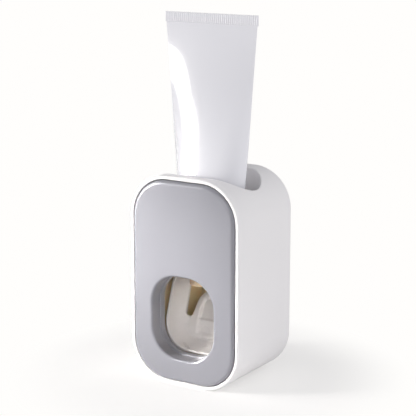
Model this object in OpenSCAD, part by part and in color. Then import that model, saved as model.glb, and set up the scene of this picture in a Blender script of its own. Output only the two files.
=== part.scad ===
/* [Casing] */
// Width of the casing
body_w = 70; // [66:0.5:76]
// Height of the casing
body_h = 117; // [114:0.5:126]
// Depth of the casing, without the cover's face
body_d = 57; // [55:0.5:64]
// Radius of the casing's four corners, seen from the front
corner_r = 23.4; // [21:0.2:25]
// Thickness of the casing's ring wall
wall = 2; // [1.6:0.1:2.4]
// Thickness of the casing's back wall
back_wall = 2.4; // [2:0.1:3]
// Rounding of the ring wall's front edge
rim_round = 0.9; // [0.4:0.1:0.95]
// Rounding of the casing's back edge
back_round = 2.5; // [1:0.1:3]

/* [Tube well] */
// Length of the oval well that the tube stands in
well_len = 57; // [54:0.5:60]
// Width of the oval well, front to back
well_wid = 41; // [40:0.5:43]
// Thickness of the well's wall
well_wall = 1.6; // [1.2:0.1:2]
// Height above the stand at which the well's wall ends
well_foot_z = 88; // [86:0.5:96]

/* [Wall hanging] */
// Distance between the two keyholes
key_pitch = 36; // [30:0.5:40]
// Height of the keyholes' round ends
key_z = 94; // [90:0.5:98]
// Radius of a keyhole's round end
key_r = 4; // [3.5:0.1:4.5]
// Width of a keyhole's slot
key_slot_w = 4.2; // [3.6:0.1:4.6]
// Rise of a keyhole's slot above its round end
key_rise = 7; // [6:0.5:9]

/* [Cover] */
// How far the cover's face stands in front of the casing
cover_proud = 2; // [1:0.1:3]
// Gap around the cover in the casing's mouth
cover_gap = 0.35; // [0.25:0.05:0.6]
// Thickness of the cover's face
cover_face_t = 2.4; // [2:0.1:3]
// Thickness of the cover's skirt
cover_skirt_t = 1.8; // [1.4:0.1:2.2]
// Gap between the cover's skirt and the tube well behind it
cover_back_gap = 0.3; // [0.2:0.05:0.6]
// Rounding of the cover's front edge
cover_round = 2.2; // [1.5:0.1:3]
// Running gap of the cover's grip ridges and ledges
cover_run = 0.05; // [0.03:0.01:0.1]

/* [Window] */
// Width of the brush window
win_w = 40; // [37:0.5:40]
// Height of the brush window
win_h = 46.7; // [44:0.5:48]
// Height of the window's lower edge above the stand
win_z = 15.4; // [14:0.2:18]
// Radius of the window's corners
win_r = 16.5; // [14:0.5:18]
// Rounding of the window's front edge
lip_round = 1; // [0.6:0.1:1.2]
// Length of the tunnel behind the face
tunnel_len = 12; // [11:0.2:13]
// Thickness of the tunnel's wall
tunnel_wall = 1.6; // [1.2:0.1:2]
// Depth at which the tunnel steps in
tunnel_step_y = 8.2; // [7:0.2:10]
// Size of the step in the tunnel
tunnel_step = 0.5; // [0.3:0.1:0.8]

/* [Push cup] */
// Outer width of the push cup
cup_w = 40; // [38:0.5:42]
// Depth of the push cup from its rim to its back
cup_d = 17.1; // [16:0.1:18]
// Outer radius of the cup's corners and bowl
cup_r = 14; // [12:0.2:15]
// Wall of the push cup
cup_wall = 1.6; // [1.3:0.1:2]
// Lowest point of the push cup
cup_z = 15.5; // [15:0.1:17]
// Height at which the cup starts to lean back
knee_z = 33; // [31:0.5:35]
// Angle at which the upper cup leans back
cup_lean = 17.8; // [14:0.2:20]
// Gap between the tunnel's end and the cup's rim
cup_front_gap = 1.5; // [1:0.1:2.5]
// Height of the full-width cup above its knee
cup_upper_h = 20; // [16:0.5:21]
// Width of each slot beside the tongue
slot_w = 4.8; // [4:0.2:5.4]
// Distance from the middle to the centre line of a slot
slot_x = 12.3; // [11.6:0.1:12.8]
// Height of the rounded lower end of the slots
slot_z = 31.8; // [31:0.2:33]

/* [Tongue] */
// Half width of the tongue
tongue_hw = 8.6; // [8:0.1:9]
// Half width of the tongue's foot
foot_hw = 11; // [10:0.1:11.6]
// Height of the tongue's lower end
tongue_z = 20.5; // [20:0.2:22]
// Height of the tongue's rounded top
tongue_top_z = 48; // [46:0.5:49]
// Angle at which the tongue leans back
tongue_lean = 28.3; // [26:0.2:30]
// Thickness of the tongue
tongue_t = 2.6; // [2.2:0.1:3]
// Width of the raised edge around the tongue's hollow
tongue_edge = 2.8; // [2.2:0.1:3.2]
// Depth of the hollow in the tongue
tongue_hollow = 1.2; // [0.8:0.1:1.5]
// Distance from the tongue's lower end to the step across its hollow
tongue_step = 14.4; // [13.5:0.1:15]

/* [Hinge] */
// Height of the hinge line of the cup
hinge_z = 62; // [61:0.2:63]
// Place of the hinge line behind the tube's axis, front to back
hinge_y = -1; // [-2:0.2:0]
// Radius of a hinge pin
pin_r = 2; // [1.6:0.1:2.4]
// Running clearance between a pin and the cup
pin_run = 0.05; // [0.03:0.01:0.1]
// Radius of the cup's hinge bosses
boss_r = 5; // [4.4:0.1:5.4]
// Depth of the bearing in each boss
bearing_len = 3.5; // [3:0.1:4]
// Wire radius of the return springs
wire_r = 0.35; // [0.25:0.05:0.4]
// Middle radius of the springs' coils
coil_r = 3.3; // [3:0.1:3.6]
// Number of turns of a return spring
coil_turns = 3; // [2:1:4]

/* [Carrier] */
// Gap between the cup and each cheek of the carrier
cheek_gap = 2.6; // [2.4:0.1:3]
// Thickness of the carrier's cheeks
cheek_t = 1.8; // [1.5:0.1:2.2]
// Height of the carrier's underside above the stand
carrier_z = 7; // [6:0.2:8]
// Thickness of the carrier's floor and back
carrier_t = 2; // [1.6:0.1:2.4]
// Height of the underside of the carrier's deck
deck_z = 70; // [69:0.5:72]
// Thickness of the deck
deck_t = 2.4; // [2:0.1:3]
// Height of the carrier's back plate
carrier_back_z = 79; // [76:0.5:82]
// Gap between the carrier and the casing's ribs
rib_gap = 0.3; // [0.2:0.05:0.5]
// Thickness of the casing's ribs
rib_t = 2; // [1.6:0.1:2.4]
// Height of the lower ribs
low_rib_z = 30; // [26:0.5:34]

/* [Pump] */
// Half width of the pump head's nose
head_hw = 12; // [11.5:0.1:12.5]
// Height of the underside of the nose
head_z = 58; // [57.5:0.1:59]
// Half width of the pump head's tail
tail_hw = 14.5; // [14:0.1:15]
// Radius of the paste duct
duct_r = 2.6; // [2.2:0.1:2.8]
// Height of the duct's middle
duct_z = 62.5; // [62:0.1:63]
// Outer radius of the squeeze bulb
bulb_r = 7; // [6.6:0.1:7.2]
// Wall of the squeeze bulb
bulb_wall = 1.2; // [1:0.1:1.5]
// Lowest point of the squeeze bulb
bulb_z = 34; // [33:0.5:35]
// Radius of the bulb's flange
bulb_flange_r = 9; // [8.8:0.1:9.4]
// Thickness of the bulb's flange
bulb_flange_t = 1.4; // [1.2:0.1:1.6]
// Thickness of the plate that holds the bulb
clamp_t = 1.8; // [1.5:0.1:2.2]
// Gap between the press pad and the bulb
pad_gap = 0.3; // [0.25:0.05:0.5]
// Radius of the press pad
pad_r = 4; // [3.5:0.1:4.2]
// Height of the press pad's middle
pad_z = 41; // [40.5:0.1:41.5]
// Thickness of the press pad
pad_t = 1.6; // [1.2:0.1:1.8]

/* [Outlet] */
// Place of the outlet in front of the tube's axis
outlet_y = -8; // [-8.5:0.1:-7.5]
// Lowest point of the outlet nozzle
outlet_z = 52.5; // [52:0.1:53.5]
// Outer radius of the outlet nozzle
outlet_r = 3; // [2.8:0.1:3.2]
// Radius of the outlet's flange
outlet_flange_r = 4.6; // [4.4:0.1:4.8]
// Outer radius of the cap that holds the nozzle
cap_r = 7.4; // [7.2:0.1:7.6]

/* [Inlet] */
// Radius of the well for the inlet valve
valve_well_r = 7; // [6.6:0.1:7.4]
// Radius of the inlet valve's disc
valve_r = 5; // [4.6:0.1:5.4]
// Thickness of the inlet valve's disc
valve_t = 1; // [0.8:0.1:1.2]
// Travel of the inlet valve's disc
valve_travel = 0.9; // [0.6:0.1:1]
// Radius of the paste passage
passage_r = 3.2; // [2.8:0.1:3.4]

/* [Tube] */
// Radius of the tube where it is round
tube_r = 19; // [18:0.25:19]
// Total height of the tube's top above the stand
tube_top_z = 202.6; // [180:0.2:220]
// Height of the flat seal at the tube's top
crimp_h = 5.6; // [4:0.2:8]
// Thickness of the flat seal
crimp_t = 1.1; // [0.9:0.1:1.5]
// Number of ribs on each side of the flat seal
crimp_ribs = 46; // [30:1:60]
// Depth of the ribs on the flat seal
crimp_rib = 0.2; // [0.1:0.05:0.25]
// Wall of the tube's sleeve
sleeve_t = 0.6; // [0.5:0.05:0.8]
// Height at which the sleeve ends on the shoulder
sleeve_z = 86; // [85:0.2:88]
// Outer radius of the tube's neck
neck_r = 6.3; // [6:0.1:6.6]
// Radius of the opening in the neck
neck_bore_r = 3.5; // [3.3:0.1:4]
// Length of the neck below the shoulder
neck_len = 11; // [10:0.5:12]
// Running clearance between the neck and its grommet
neck_run = 0.05; // [0.03:0.01:0.1]
// Outer radius of the grommet in the deck
grommet_r = 10.4; // [10:0.1:10.8]

/* [Hidden] */
$fn = 72;

seat_gap = 0.05;
mid_z = body_h / 2;
face_y = -(body_d + cover_proud) / 2;
front_y = face_y + cover_proud;
back_y = front_y + body_d;
inner_back_y = back_y - back_wall;
floor_z = wall;
far = 300;

cover_end_y = -(well_wid / 2 + well_wall) - cover_back_gap;
tunnel_end_y = face_y + tunnel_len;
win_mid_z = win_z + win_h / 2;

rim_y = tunnel_end_y + cup_front_gap;
cup_back_y = rim_y + cup_d;
cup_in_w = cup_w - 2 * cup_wall;
cup_in_r = cup_r - cup_wall;
cup_in_back_y = cup_back_y - cup_wall;
cup_in_z = cup_z + cup_wall;
slot_r = slot_w / 2;
lean_run = tan(cup_lean);

cheek_in = cup_w / 2 + cheek_gap;
cheek_out = cheek_in + cheek_t;
carrier_back_y = inner_back_y - carrier_t;
deck_top_z = deck_z + deck_t;
cheek_front_y = tunnel_end_y + 4.5;
upper_rib_z = deck_z + deck_t / 2;
leg_y = hinge_y - coil_r;
peg_r = 0.9;

bulb_y = carrier_back_y - bulb_flange_r - 0.1;
tongue_base_y = cup_in_back_y - cup_in_r + 3;
tongue_len = (tongue_top_z - tongue_z) / cos(tongue_lean);
tongue_back_y = tongue_base_y + (pad_z - tongue_z) * tan(tongue_lean) + tongue_t / cos(tongue_lean);
pad_back_y = bulb_y - bulb_r - pad_gap;
pad_front_y = pad_back_y - pad_t;

tail_z = head_z - bulb_flange_t;
clamp_z = tail_z - clamp_t;
tail_front_y = bulb_y - bulb_flange_r - 1;
head_front_y = outlet_y - cap_r + 0.9;
screw_r = 1.1;
screw_head_r = 2.2;
screw_head_h = 1.4;
screw_len = 8;
screw_x = 9.4;
screw_slack = 0.2;
thread_fit = 0.03;
press_fit = 0.02;
head_screw_places = [for (x = [-screw_x, screw_x], y = [head_front_y + 3, bulb_y + 1.5]) [x, y]];
clamp_screw_x = tail_hw - 2.3;
clamp_screw_places = [for (x = [-clamp_screw_x, clamp_screw_x], y = [-6, 6]) [x, bulb_y + y]];

cap_wall = 1.4;
nozzle_boss_z = head_z - 2.4;
nozzle_flange_t = 1.4;
nozzle_top_z = head_z - 0.8;
ledge_z = duct_z + duct_r - 0.2;
valve_z = ledge_z + seat_gap;
seat_z = valve_z + valve_t + valve_travel;
collar_in_r = grommet_r + 0.1;
collar_wall = 1.9;
collar_out_r = collar_in_r + collar_wall;
collar_h = 6;
collar_top_z = deck_top_z + collar_h;
grommet_lip = 2;
grommet_top_z = collar_top_z + grommet_lip;
grommet_floor = 2;
neck_tip_z = deck_z + grommet_floor + seat_gap;
shoulder_z = neck_tip_z + neck_len;
sleeve_top_z = tube_top_z - crimp_h;
crimp_w = PI * tube_r - 0.5;

shell_color = "white";
cover_color = "lightslategray";
carrier_color = "tan";
cup_color = "whitesmoke";
rubber_color = "gainsboro";
metal_color = "silver";

// Sweeps a flat profile around an upright rounded rectangle that is centred at the origin.
// In the profile, x is the distance from a corner's centre, so the outline is at x = r, and y is the depth.
module sweep_round_rect(w, h, r) {
    cx = w / 2 - r;
    cz = h / 2 - r;
    quarters = [[1, -1, 0], [-1, -1, 90], [-1, 1, 180], [1, 1, 270]];
    for (q = quarters)
        translate([q[0] * cx, 0, q[1] * cz])
            rotate([-90, 0, 0]) rotate([0, 0, q[2]])
                rotate_extrude(angle = 90) children();
    for (s = [0, 1]) {
        mirror([s, 0, 0]) translate([cx, 0, -cz]) linear_extrude(2 * cz) children();
        if (cx > 0)
            mirror([0, 0, s]) translate([0, 0, cz]) rotate([0, -90, 0])
                translate([0, 0, -cx]) linear_extrude(2 * cx) children();
    }
}

// Section of an edge, from the corner's centre out to the outline, with rounded front and back.
module edge_section(r, y0, y1, front_r, back_r) {
    translate([0, y0 + front_r]) square([r, y1 - y0 - front_r - back_r]);
    if (front_r > 0) {
        translate([0, y0]) square([r - front_r, 2 * front_r]);
        translate([r - front_r, y0 + front_r]) circle(front_r);
    }
    if (back_r > 0) {
        if (r > back_r)
            translate([0, y1 - 2 * back_r]) square([r - back_r, 2 * back_r]);
        intersection() {
            translate([r - back_r, y1 - back_r]) circle(back_r);
            translate([0, y0]) square([r, y1 - y0]);
        }
    }
}

// Upright rounded block from depth y0 to y1, centred at the origin in width and height.
module round_block(w, h, r, y0, y1, front_r = 0, back_r = 0) {
    core_w = w - 2 * r;
    core_h = h - 2 * r;
    translate([-core_w / 2, y0, -core_h / 2]) cube([core_w, y1 - y0, core_h]);
    sweep_round_rect(w, h, r) edge_section(r, y0, y1, front_r, back_r);
}

// Oval prism with half-round ends, standing along the height.
module oval(len, wid, h) {
    for (s = [-1, 1])
        translate([s * (len - wid) / 2, 0, 0]) cylinder(r = wid / 2, h = h);
    translate([-(len - wid) / 2, -wid / 2, 0]) cube([len - wid, wid, h]);
}

// Turns a profile drawn in depth and height so that it runs along the width.
module across(x0, x1) {
    translate([x0, 0, 0]) rotate([90, 0, 90]) linear_extrude(x1 - x0) children();
}

// Rod along the width.
module cross_rod(r, x0, x1) {
    translate([x0, 0, 0]) rotate([0, 90, 0]) cylinder(r = r, h = x1 - x0);
}

// Rod along the depth.
module depth_rod(r, y0, y1) {
    translate([0, y0, 0]) rotate([-90, 0, 0]) cylinder(r = r, h = y1 - y0);
}

// Cross-head screw with its head's underside at the origin and its shank going down.
module pan_screw() {
    translate([0, 0, -screw_len]) cylinder(r = screw_r, h = screw_len);
    difference() {
        cylinder(r = screw_head_r, h = screw_head_h);
        for (a = [0, 90])
            rotate([0, 0, a]) translate([-1.3, -0.25, screw_head_h - 0.7]) cube([2.6, 0.5, 1]);
    }
}

// The white casing: a rounded ring closed at the back, with the tube's well, ribs and keyholes.
module outer_shell() {
    inner_w = body_w - 2 * wall;
    color(shell_color) difference() {
        union() {
            difference() {
                translate([0, 0, mid_z])
                    round_block(body_w, body_h, corner_r, front_y, back_y, rim_round, back_round);
                translate([0, 0, mid_z])
                    round_block(inner_w, body_h - 2 * wall, corner_r - wall, front_y - 5, inner_back_y, 0, 1);
            }
            intersection() {
                translate([0, 0, well_foot_z]) oval(well_len + 2 * well_wall, well_wid + 2 * well_wall, far);
                translate([0, 0, mid_z])
                    round_block(body_w - wall, body_h - wall, corner_r - wall / 2, front_y + 2, back_y - 1);
            }
            intersection() {
                shell_ribs();
                translate([0, 0, mid_z])
                    round_block(body_w - wall, body_h - wall, corner_r - wall / 2, front_y + 2, back_y - 1);
            }
        }
        translate([0, 0, well_foot_z - 1]) oval(well_len, well_wid, far);
        for (s = [-1, 1]) translate([s * key_pitch / 2, inner_back_y - 1, key_z]) keyhole();
    }
}

// Ribs inside the casing: two pairs that guide the carrier and stop the cover, and two that it stands on.
module shell_ribs() {
    ledge_y = cover_end_y + cover_run;
    for (s = [0, 1], z = [low_rib_z, upper_rib_z])
        mirror([s, 0, 0]) translate([cheek_out + rib_gap, ledge_y, z - rib_t / 2])
            cube([body_w, inner_back_y - ledge_y + 1, rib_t]);
    for (x = [-8, 8])
        translate([x - rib_t / 2, cheek_front_y, floor_z - 1])
            cube([rib_t, inner_back_y - cheek_front_y + 1, carrier_z - floor_z + 1]);
}

module keyhole() {
    depth_rod(key_r, 0, back_wall + 2);
    translate([0, 0, key_rise]) depth_rod(key_slot_w / 2, 0, back_wall + 2);
    translate([-key_slot_w / 2, 0, 0]) cube([key_slot_w, back_wall + 2, key_rise]);
}

// The grey cover: a tray with the brush window and its tunnel.
module front_cover() {
    w = body_w - 2 * wall - 2 * cover_gap;
    h = body_h - 2 * wall - 2 * cover_gap;
    r = corner_r - wall - cover_gap;
    t = cover_skirt_t;
    color(cover_color) difference() {
        union() {
            difference() {
                translate([0, 0, mid_z]) round_block(w, h, r, face_y, cover_end_y, cover_round, 0);
                translate([0, 0, mid_z])
                    round_block(w - 2 * t, h - 2 * t, r - t, face_y + cover_face_t, cover_end_y + 1, 0.6, 0);
            }
            translate([0, 0, win_mid_z])
                round_block(win_w + 2 * tunnel_wall, win_h + 2 * tunnel_wall, win_r + tunnel_wall,
                    face_y + cover_face_t - 1, tunnel_end_y);
            grip_ridges(w / 2);
        }
        translate([0, 0, win_mid_z]) window_hole();
    }
}

// Small ridges on the skirt that grip the casing's mouth.
module grip_ridges(half_w) {
    ridge = cover_gap - cover_run;
    ridge_y = front_y + 2;
    for (s = [0, 1], z = [mid_z - 16, mid_z + 16])
        mirror([s, 0, 0]) translate([half_w - 1, ridge_y, z - 4])
            cube([1 + ridge, cover_end_y - 0.5 - ridge_y, 8]);
}

// The window's opening: a rounded lip, the tunnel, and its narrower inner end.
module window_hole() {
    core_w = win_w - 2 * win_r;
    core_h = win_h - 2 * win_r;
    y0 = face_y - 1;
    translate([-core_w / 2, y0, -core_h / 2]) cube([core_w, tunnel_end_y + 1 - y0, core_h]);
    sweep_round_rect(win_w, win_h, win_r) window_section(y0);
}

// Section of the window's opening, from a corner's centre out to its wall.
module window_section(y0) {
    step_y = face_y + tunnel_step_y;
    difference() {
        union() {
            translate([0, y0]) square([win_r, step_y - y0]);
            translate([0, y0]) square([win_r - tunnel_step, tunnel_end_y + 1 - y0]);
            translate([win_r - 1, y0]) square([1 + lip_round, face_y + lip_round - y0]);
        }
        translate([win_r + lip_round, face_y + lip_round]) circle(lip_round);
    }
}

// The amber carrier: two cheeks, floor, back and a deck with the collar of the grommet.
module carrier_frame() {
    w = 2 * cheek_out;
    head_hole = screw_r + screw_slack;
    color(carrier_color) difference() {
        union() {
            for (s = [0, 1])
                mirror([s, 0, 0]) across(cheek_in, cheek_out) cheek_section();
            translate([-cheek_out, cheek_front_y, carrier_z])
                cube([w, inner_back_y - cheek_front_y, carrier_t]);
            translate([-cheek_out, carrier_back_y, carrier_z])
                cube([w, carrier_t, carrier_back_z - carrier_z]);
            translate([-cheek_out, head_front_y, deck_z])
                cube([w, inner_back_y - head_front_y, deck_t]);
            translate([0, 0, deck_z]) cylinder(r = collar_out_r, h = collar_top_z - deck_z);
            for (s = [0, 1])
                mirror([s, 0, 0]) translate([0, leg_y - wire_r - peg_r, hinge_z + 4.6])
                    cross_rod(peg_r, cheek_in - 2, cheek_in + 1);
        }
        translate([0, 0, deck_z - 1]) cylinder(r = collar_in_r, h = far);
        for (p = head_screw_places) translate([p[0], p[1], deck_z - 1]) cylinder(r = head_hole, h = deck_t + 2);
        translate([0, hinge_y, hinge_z]) cross_rod(pin_r + press_fit, -far, far);
    }
}

// Side view of a cheek, with a sloping lower front that clears the swinging cup.
module cheek_section() {
    polygon([[cheek_front_y, carrier_z], [inner_back_y - 1, carrier_z],
        [inner_back_y - 1, deck_z + 1], [head_front_y, deck_z + 1], [cheek_front_y, deck_z - 6]]);
}

// The pump head: valve well, paste duct, nozzle boss and the bulb's socket in one block.
module pump_head() {
    nose_w = 2 * head_hw;
    tail_w = 2 * tail_hw;
    color(cup_color) difference() {
        union() {
            translate([-head_hw, head_front_y, head_z])
                cube([nose_w, carrier_back_y - head_front_y, deck_z - head_z]);
            translate([-tail_hw, tail_front_y, tail_z])
                cube([tail_w, carrier_back_y - tail_front_y, deck_z - tail_z]);
            translate([0, outlet_y, nozzle_boss_z]) cylinder(r = cap_r - cap_wall, h = 3);
        }
        translate([0, 0, duct_z]) depth_rod(duct_r, outlet_y - duct_r, far);
        translate([0, 0, ledge_z]) cylinder(r = valve_well_r, h = far);
        translate([0, 0, duct_z]) cylinder(r = passage_r, h = far);
        for (a = [0, 90])
            rotate([0, 0, a]) translate([-6, -0.8, ledge_z - 0.9]) cube([12, 1.6, 2]);
        translate([0, outlet_y, head_z - 10]) cylinder(r = outlet_r - 1, h = duct_z - head_z + 10);
        translate([0, outlet_y, head_z - 10]) cylinder(r = outlet_flange_r + 0.1, h = nozzle_top_z - head_z + 10);
        translate([0, bulb_y, tail_z - 1]) cylinder(r = bulb_flange_r + 0.1, h = bulb_flange_t + 1);
        translate([0, bulb_y, tail_z - 1]) cylinder(r = bulb_r - bulb_wall - 2.5, h = duct_z - tail_z + 1);
        for (p = head_screw_places)
            translate([p[0], p[1], deck_top_z - screw_len - 0.5]) cylinder(r = screw_r + thread_fit, h = far);
        for (p = clamp_screw_places)
            translate([p[0], p[1], 0]) cylinder(r = screw_r + thread_fit, h = clamp_z + screw_len + 0.5);
    }
}

// Plug that closes the drilled end of the duct.
module duct_plug() {
    color(rubber_color) translate([0, 0, duct_z])
        depth_rod(duct_r - press_fit, carrier_back_y - 4, carrier_back_y - 0.1);
}

// Ring that the inlet valve closes against, pressed into the valve well.
module valve_seat() {
    color(cup_color) translate([0, 0, seat_z]) difference() {
        cylinder(r = valve_well_r - press_fit, h = deck_z - seat_z);
        translate([0, 0, -1]) cylinder(r = passage_r, h = far);
    }
}

// Floating disc of the inlet valve, on the ledge of its well.
module inlet_valve() {
    color(rubber_color) translate([0, 0, valve_z]) cylinder(r = valve_r, h = valve_t);
}

// Grommet in the deck's collar that grips and seals the neck of the tube.
module neck_grommet() {
    color(rubber_color) difference() {
        union() {
            translate([0, 0, deck_z]) cylinder(r = grommet_r, h = grommet_top_z - deck_z);
            translate([0, 0, collar_top_z]) rotate_extrude() union() {
                square([collar_out_r - 1, grommet_top_z - collar_top_z]);
                translate([collar_out_r - 1, (grommet_top_z - collar_top_z) / 2]) circle(1);
            }
        }
        translate([0, 0, neck_tip_z - seat_gap]) cylinder(r = neck_r + neck_run, h = far);
        translate([0, 0, deck_z - 1]) cylinder(r = passage_r, h = far);
    }
}

// Section of the hollow bulb, from its round bottom to its flange.
module bulb_section(r, bottom_z, top_z) {
    intersection() {
        union() {
            translate([0, bottom_z + r]) circle(r);
            translate([0, bottom_z + r]) square([r, top_z - bottom_z - r]);
        }
        translate([0, bottom_z]) square([r, top_z - bottom_z]);
    }
}

// The silicone squeeze bulb under the pump head's tail.
module pump_bulb() {
    color(rubber_color) translate([0, bulb_y, 0]) rotate_extrude() difference() {
        union() {
            bulb_section(bulb_r, bulb_z, head_z);
            translate([0, tail_z]) square([bulb_flange_r, bulb_flange_t]);
        }
        bulb_section(bulb_r - bulb_wall, bulb_z + bulb_wall, head_z + 1);
    }
}

// Plate that holds the bulb's flange up against the pump head.
module bulb_clamp() {
    color(carrier_color) difference() {
        translate([-tail_hw, tail_front_y, clamp_z])
            cube([2 * tail_hw, carrier_back_y - tail_front_y, clamp_t]);
        translate([0, bulb_y, clamp_z - 1]) cylinder(r = bulb_r + 0.3, h = clamp_t + 2);
        for (p = clamp_screw_places)
            translate([p[0], p[1], clamp_z - 1]) cylinder(r = screw_r + screw_slack, h = clamp_t + 2);
    }
}

// Four screws that go up through the clamp plate.
module clamp_screws() {
    color(metal_color) for (p = clamp_screw_places)
        translate([p[0], p[1], clamp_z]) mirror([0, 0, 1]) pan_screw();
}

// Four screws that hang the pump head under the deck.
module head_screws() {
    color(metal_color) for (p = head_screw_places)
        translate([p[0], p[1], deck_top_z]) pan_screw();
}

// Duckbill nozzle: a flange, a round body and two lips that meet in a slit.
module outlet_nozzle() {
    lip_h = 3;
    color(rubber_color) translate([0, outlet_y, 0]) difference() {
        union() {
            translate([0, 0, nozzle_top_z - nozzle_flange_t]) cylinder(r = outlet_flange_r, h = nozzle_flange_t);
            translate([0, 0, outlet_z + lip_h]) cylinder(r = outlet_r, h = nozzle_top_z - outlet_z - lip_h);
            intersection() {
                translate([0, 0, outlet_z]) cylinder(r = outlet_r, h = lip_h);
                across(-outlet_r, outlet_r) polygon([[-0.9, outlet_z], [0.9, outlet_z],
                    [outlet_r, outlet_z + lip_h], [-outlet_r, outlet_z + lip_h]]);
            }
        }
        translate([0, 0, outlet_z + lip_h]) cylinder(r = outlet_r - 1, h = far);
        translate([-outlet_r + 0.8, -0.15, outlet_z - 1]) cube([2 * outlet_r - 1.6, 0.3, lip_h + 2]);
    }
}

// Cap that holds the nozzle's flange on its boss.
module nozzle_cap() {
    bottom_z = nozzle_boss_z - cap_wall;
    color(cup_color) translate([0, outlet_y, 0]) difference() {
        translate([0, 0, bottom_z]) cylinder(r = cap_r, h = head_z - bottom_z);
        translate([0, 0, nozzle_boss_z]) cylinder(r = cap_r - cap_wall + press_fit, h = 10);
        translate([0, 0, bottom_z - 1]) cylinder(r = outlet_r + 0.1, h = 10);
    }
}

// Plan of the cup's wall: open to the front, with round back corners.
module cup_plan() {
    difference() {
        cup_plan_filled(cup_w, cup_back_y, cup_r);
        cup_plan_filled(cup_in_w, cup_in_back_y, cup_in_r);
    }
}

module cup_plan_filled(w, y1, r) {
    translate([-w / 2, rim_y]) square([w, y1 - r - rim_y]);
    translate([-w / 2 + r, rim_y]) square([w - 2 * r, y1 - rim_y]);
    for (s = [-1, 1]) translate([s * (w / 2 - r), y1 - r]) intersection() {
        circle(r);
        translate([s > 0 ? 0 : -r, 0]) square([r, r]);
    }
}

// The swinging push cup: a round bowl, a wall that leans back, two slots, arms and the tongue.
module push_cup() {
    bowl_h = 120;
    color(cup_color) difference() {
        union() {
            difference() {
                union() {
                    intersection() {
                        translate([0, 0, cup_z + bowl_h / 2])
                            round_block(cup_w, bowl_h, cup_r, rim_y - 20, cup_back_y, 0, cup_r);
                        translate([-far / 2, rim_y, 0]) cube([far, far, knee_z]);
                    }
                    cup_upper();
                }
                translate([0, 0, cup_in_z + bowl_h / 2])
                    round_block(cup_in_w, bowl_h, cup_in_r, rim_y - 25, cup_in_back_y, 0, cup_in_r);
                cup_slots();
            }
            cup_arms();
            tongue();
        }
        translate([0, hinge_y, hinge_z]) cross_rod(pin_r + pin_run, -far / 2, far / 2);
        translate([0, 0, pad_z]) depth_rod(1.55, tongue_back_y - 1.2, pad_front_y + 1);
    }
}

// Upper wall of the cup, sheared back from the knee.
module cup_upper() {
    translate([0, 0, knee_z])
        multmatrix([[1, 0, 0, 0], [0, 1, lean_run, 0], [0, 0, 1, 0], [0, 0, 0, 1]])
            linear_extrude(cup_upper_h) cup_plan();
}

// Slots beside the tongue, and the open space above it.
module cup_slots() {
    y0 = cup_in_back_y - 9;
    for (s = [-1, 1]) translate([s * slot_x, 0, slot_z + slot_r]) {
        depth_rod(slot_r, y0, y0 + 40);
        translate([-slot_r, y0, 0]) cube([slot_w, 40, 60]);
    }
    translate([-slot_x, y0, slot_z + 3.5]) cube([2 * slot_x, 40, 60]);
}

// The two arms that rise to the hinge, with bosses and the heels that stop the cup at rest.
module cup_arms() {
    arm_z = knee_z + cup_upper_h - 6;
    shift = (arm_z - knee_z) * lean_run;
    arm_front = rim_y + shift;
    arm_back = cup_back_y - cup_r + shift + 2;
    heel_z = deck_z - 0.3;
    for (s = [0, 1]) mirror([s, 0, 0]) {
        across(cup_in_w / 2, cup_w / 2) union() {
            polygon([[arm_front, arm_z], [arm_back, arm_z], [hinge_y + boss_r, hinge_z],
                [hinge_y - boss_r, hinge_z]]);
            translate([hinge_y, hinge_z]) circle(boss_r);
            translate([hinge_y - boss_r, hinge_z]) square([boss_r, heel_z - hinge_z]);
        }
        translate([0, hinge_y, hinge_z])
            cross_rod(boss_r - 0.8, cup_w / 2 - bearing_len, cup_w / 2);
        translate([0, leg_y - wire_r - peg_r, hinge_z - 8.5])
            cross_rod(peg_r, cup_in_w / 2 + 0.1, cup_w / 2 + 1.6);
    }
}

// Outline of the tongue in its own plane, from its wide foot to its round top.
module tongue_outline(inset) {
    hw = tongue_hw - inset;
    fr = foot_hw - inset;
    translate([0, foot_hw]) intersection() {
        circle(fr);
        translate([-far / 2, -far]) square([far, far + 4]);
    }
    translate([-hw, foot_hw]) square([2 * hw, tongue_len - foot_hw - tongue_hw]);
    translate([0, tongue_len - tongue_hw]) circle(hw);
}

// The tongue that the brush pushes: a leaning paddle with a hollow in its front.
module tongue() {
    back_fill = 12;
    bowl_ball_r = 9;
    difference() {
        union() {
            tongue_frame() linear_extrude(tongue_t) tongue_outline(0);
            intersection() {
                tongue_frame() linear_extrude(back_fill) tongue_outline(0);
                translate([0, 0, cup_z + 60])
                    round_block(cup_w - 1, 120, cup_r - 0.5, rim_y, cup_back_y - 0.5, 0, cup_r - 0.5);
                translate([-far / 2, -far / 2, 0]) cube([far, far, slot_z + 3.5]);
            }
            translate([0, 0, pad_z]) depth_rod(3, tongue_back_y - 1.5, pad_front_y);
        }
        tongue_frame() translate([0, 0, -1]) intersection() {
            linear_extrude(1 + tongue_hollow) tongue_outline(tongue_edge);
            translate([-far / 2, tongue_step, 0]) cube([far, far, far]);
        }
        tongue_frame() translate([0, tongue_step - 7.6, -6.4]) intersection() {
            sphere(r = bowl_ball_r);
            translate([-far / 2, -far, -far / 2]) cube([far, far + 7, far]);
        }
    }
}

// Places the tongue's plane: x across, y up along the slope, z into the thickness.
module tongue_frame() {
    translate([0, tongue_base_y, tongue_z]) rotate([-tongue_lean, 0, 0])
        mirror([0, 1, 0]) rotate([90, 0, 0]) children();
}

// Button on the back of the tongue that presses the bulb.
module press_pad() {
    color(cover_color) translate([0, 0, pad_z]) {
        depth_rod(1.5, tongue_back_y - 1, pad_front_y + 0.5);
        depth_rod(pad_r, pad_front_y, pad_back_y);
    }
}

// Hinge pin with its head outside the cheek.
module hinge_pin() {
    color(metal_color) translate([0, hinge_y, hinge_z]) {
        cross_rod(pin_r, cup_w / 2 - bearing_len + 0.1, cheek_out + 0.2);
        cross_rod(pin_r + 1.3, cheek_out, cheek_out + 1.2);
    }
}

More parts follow.
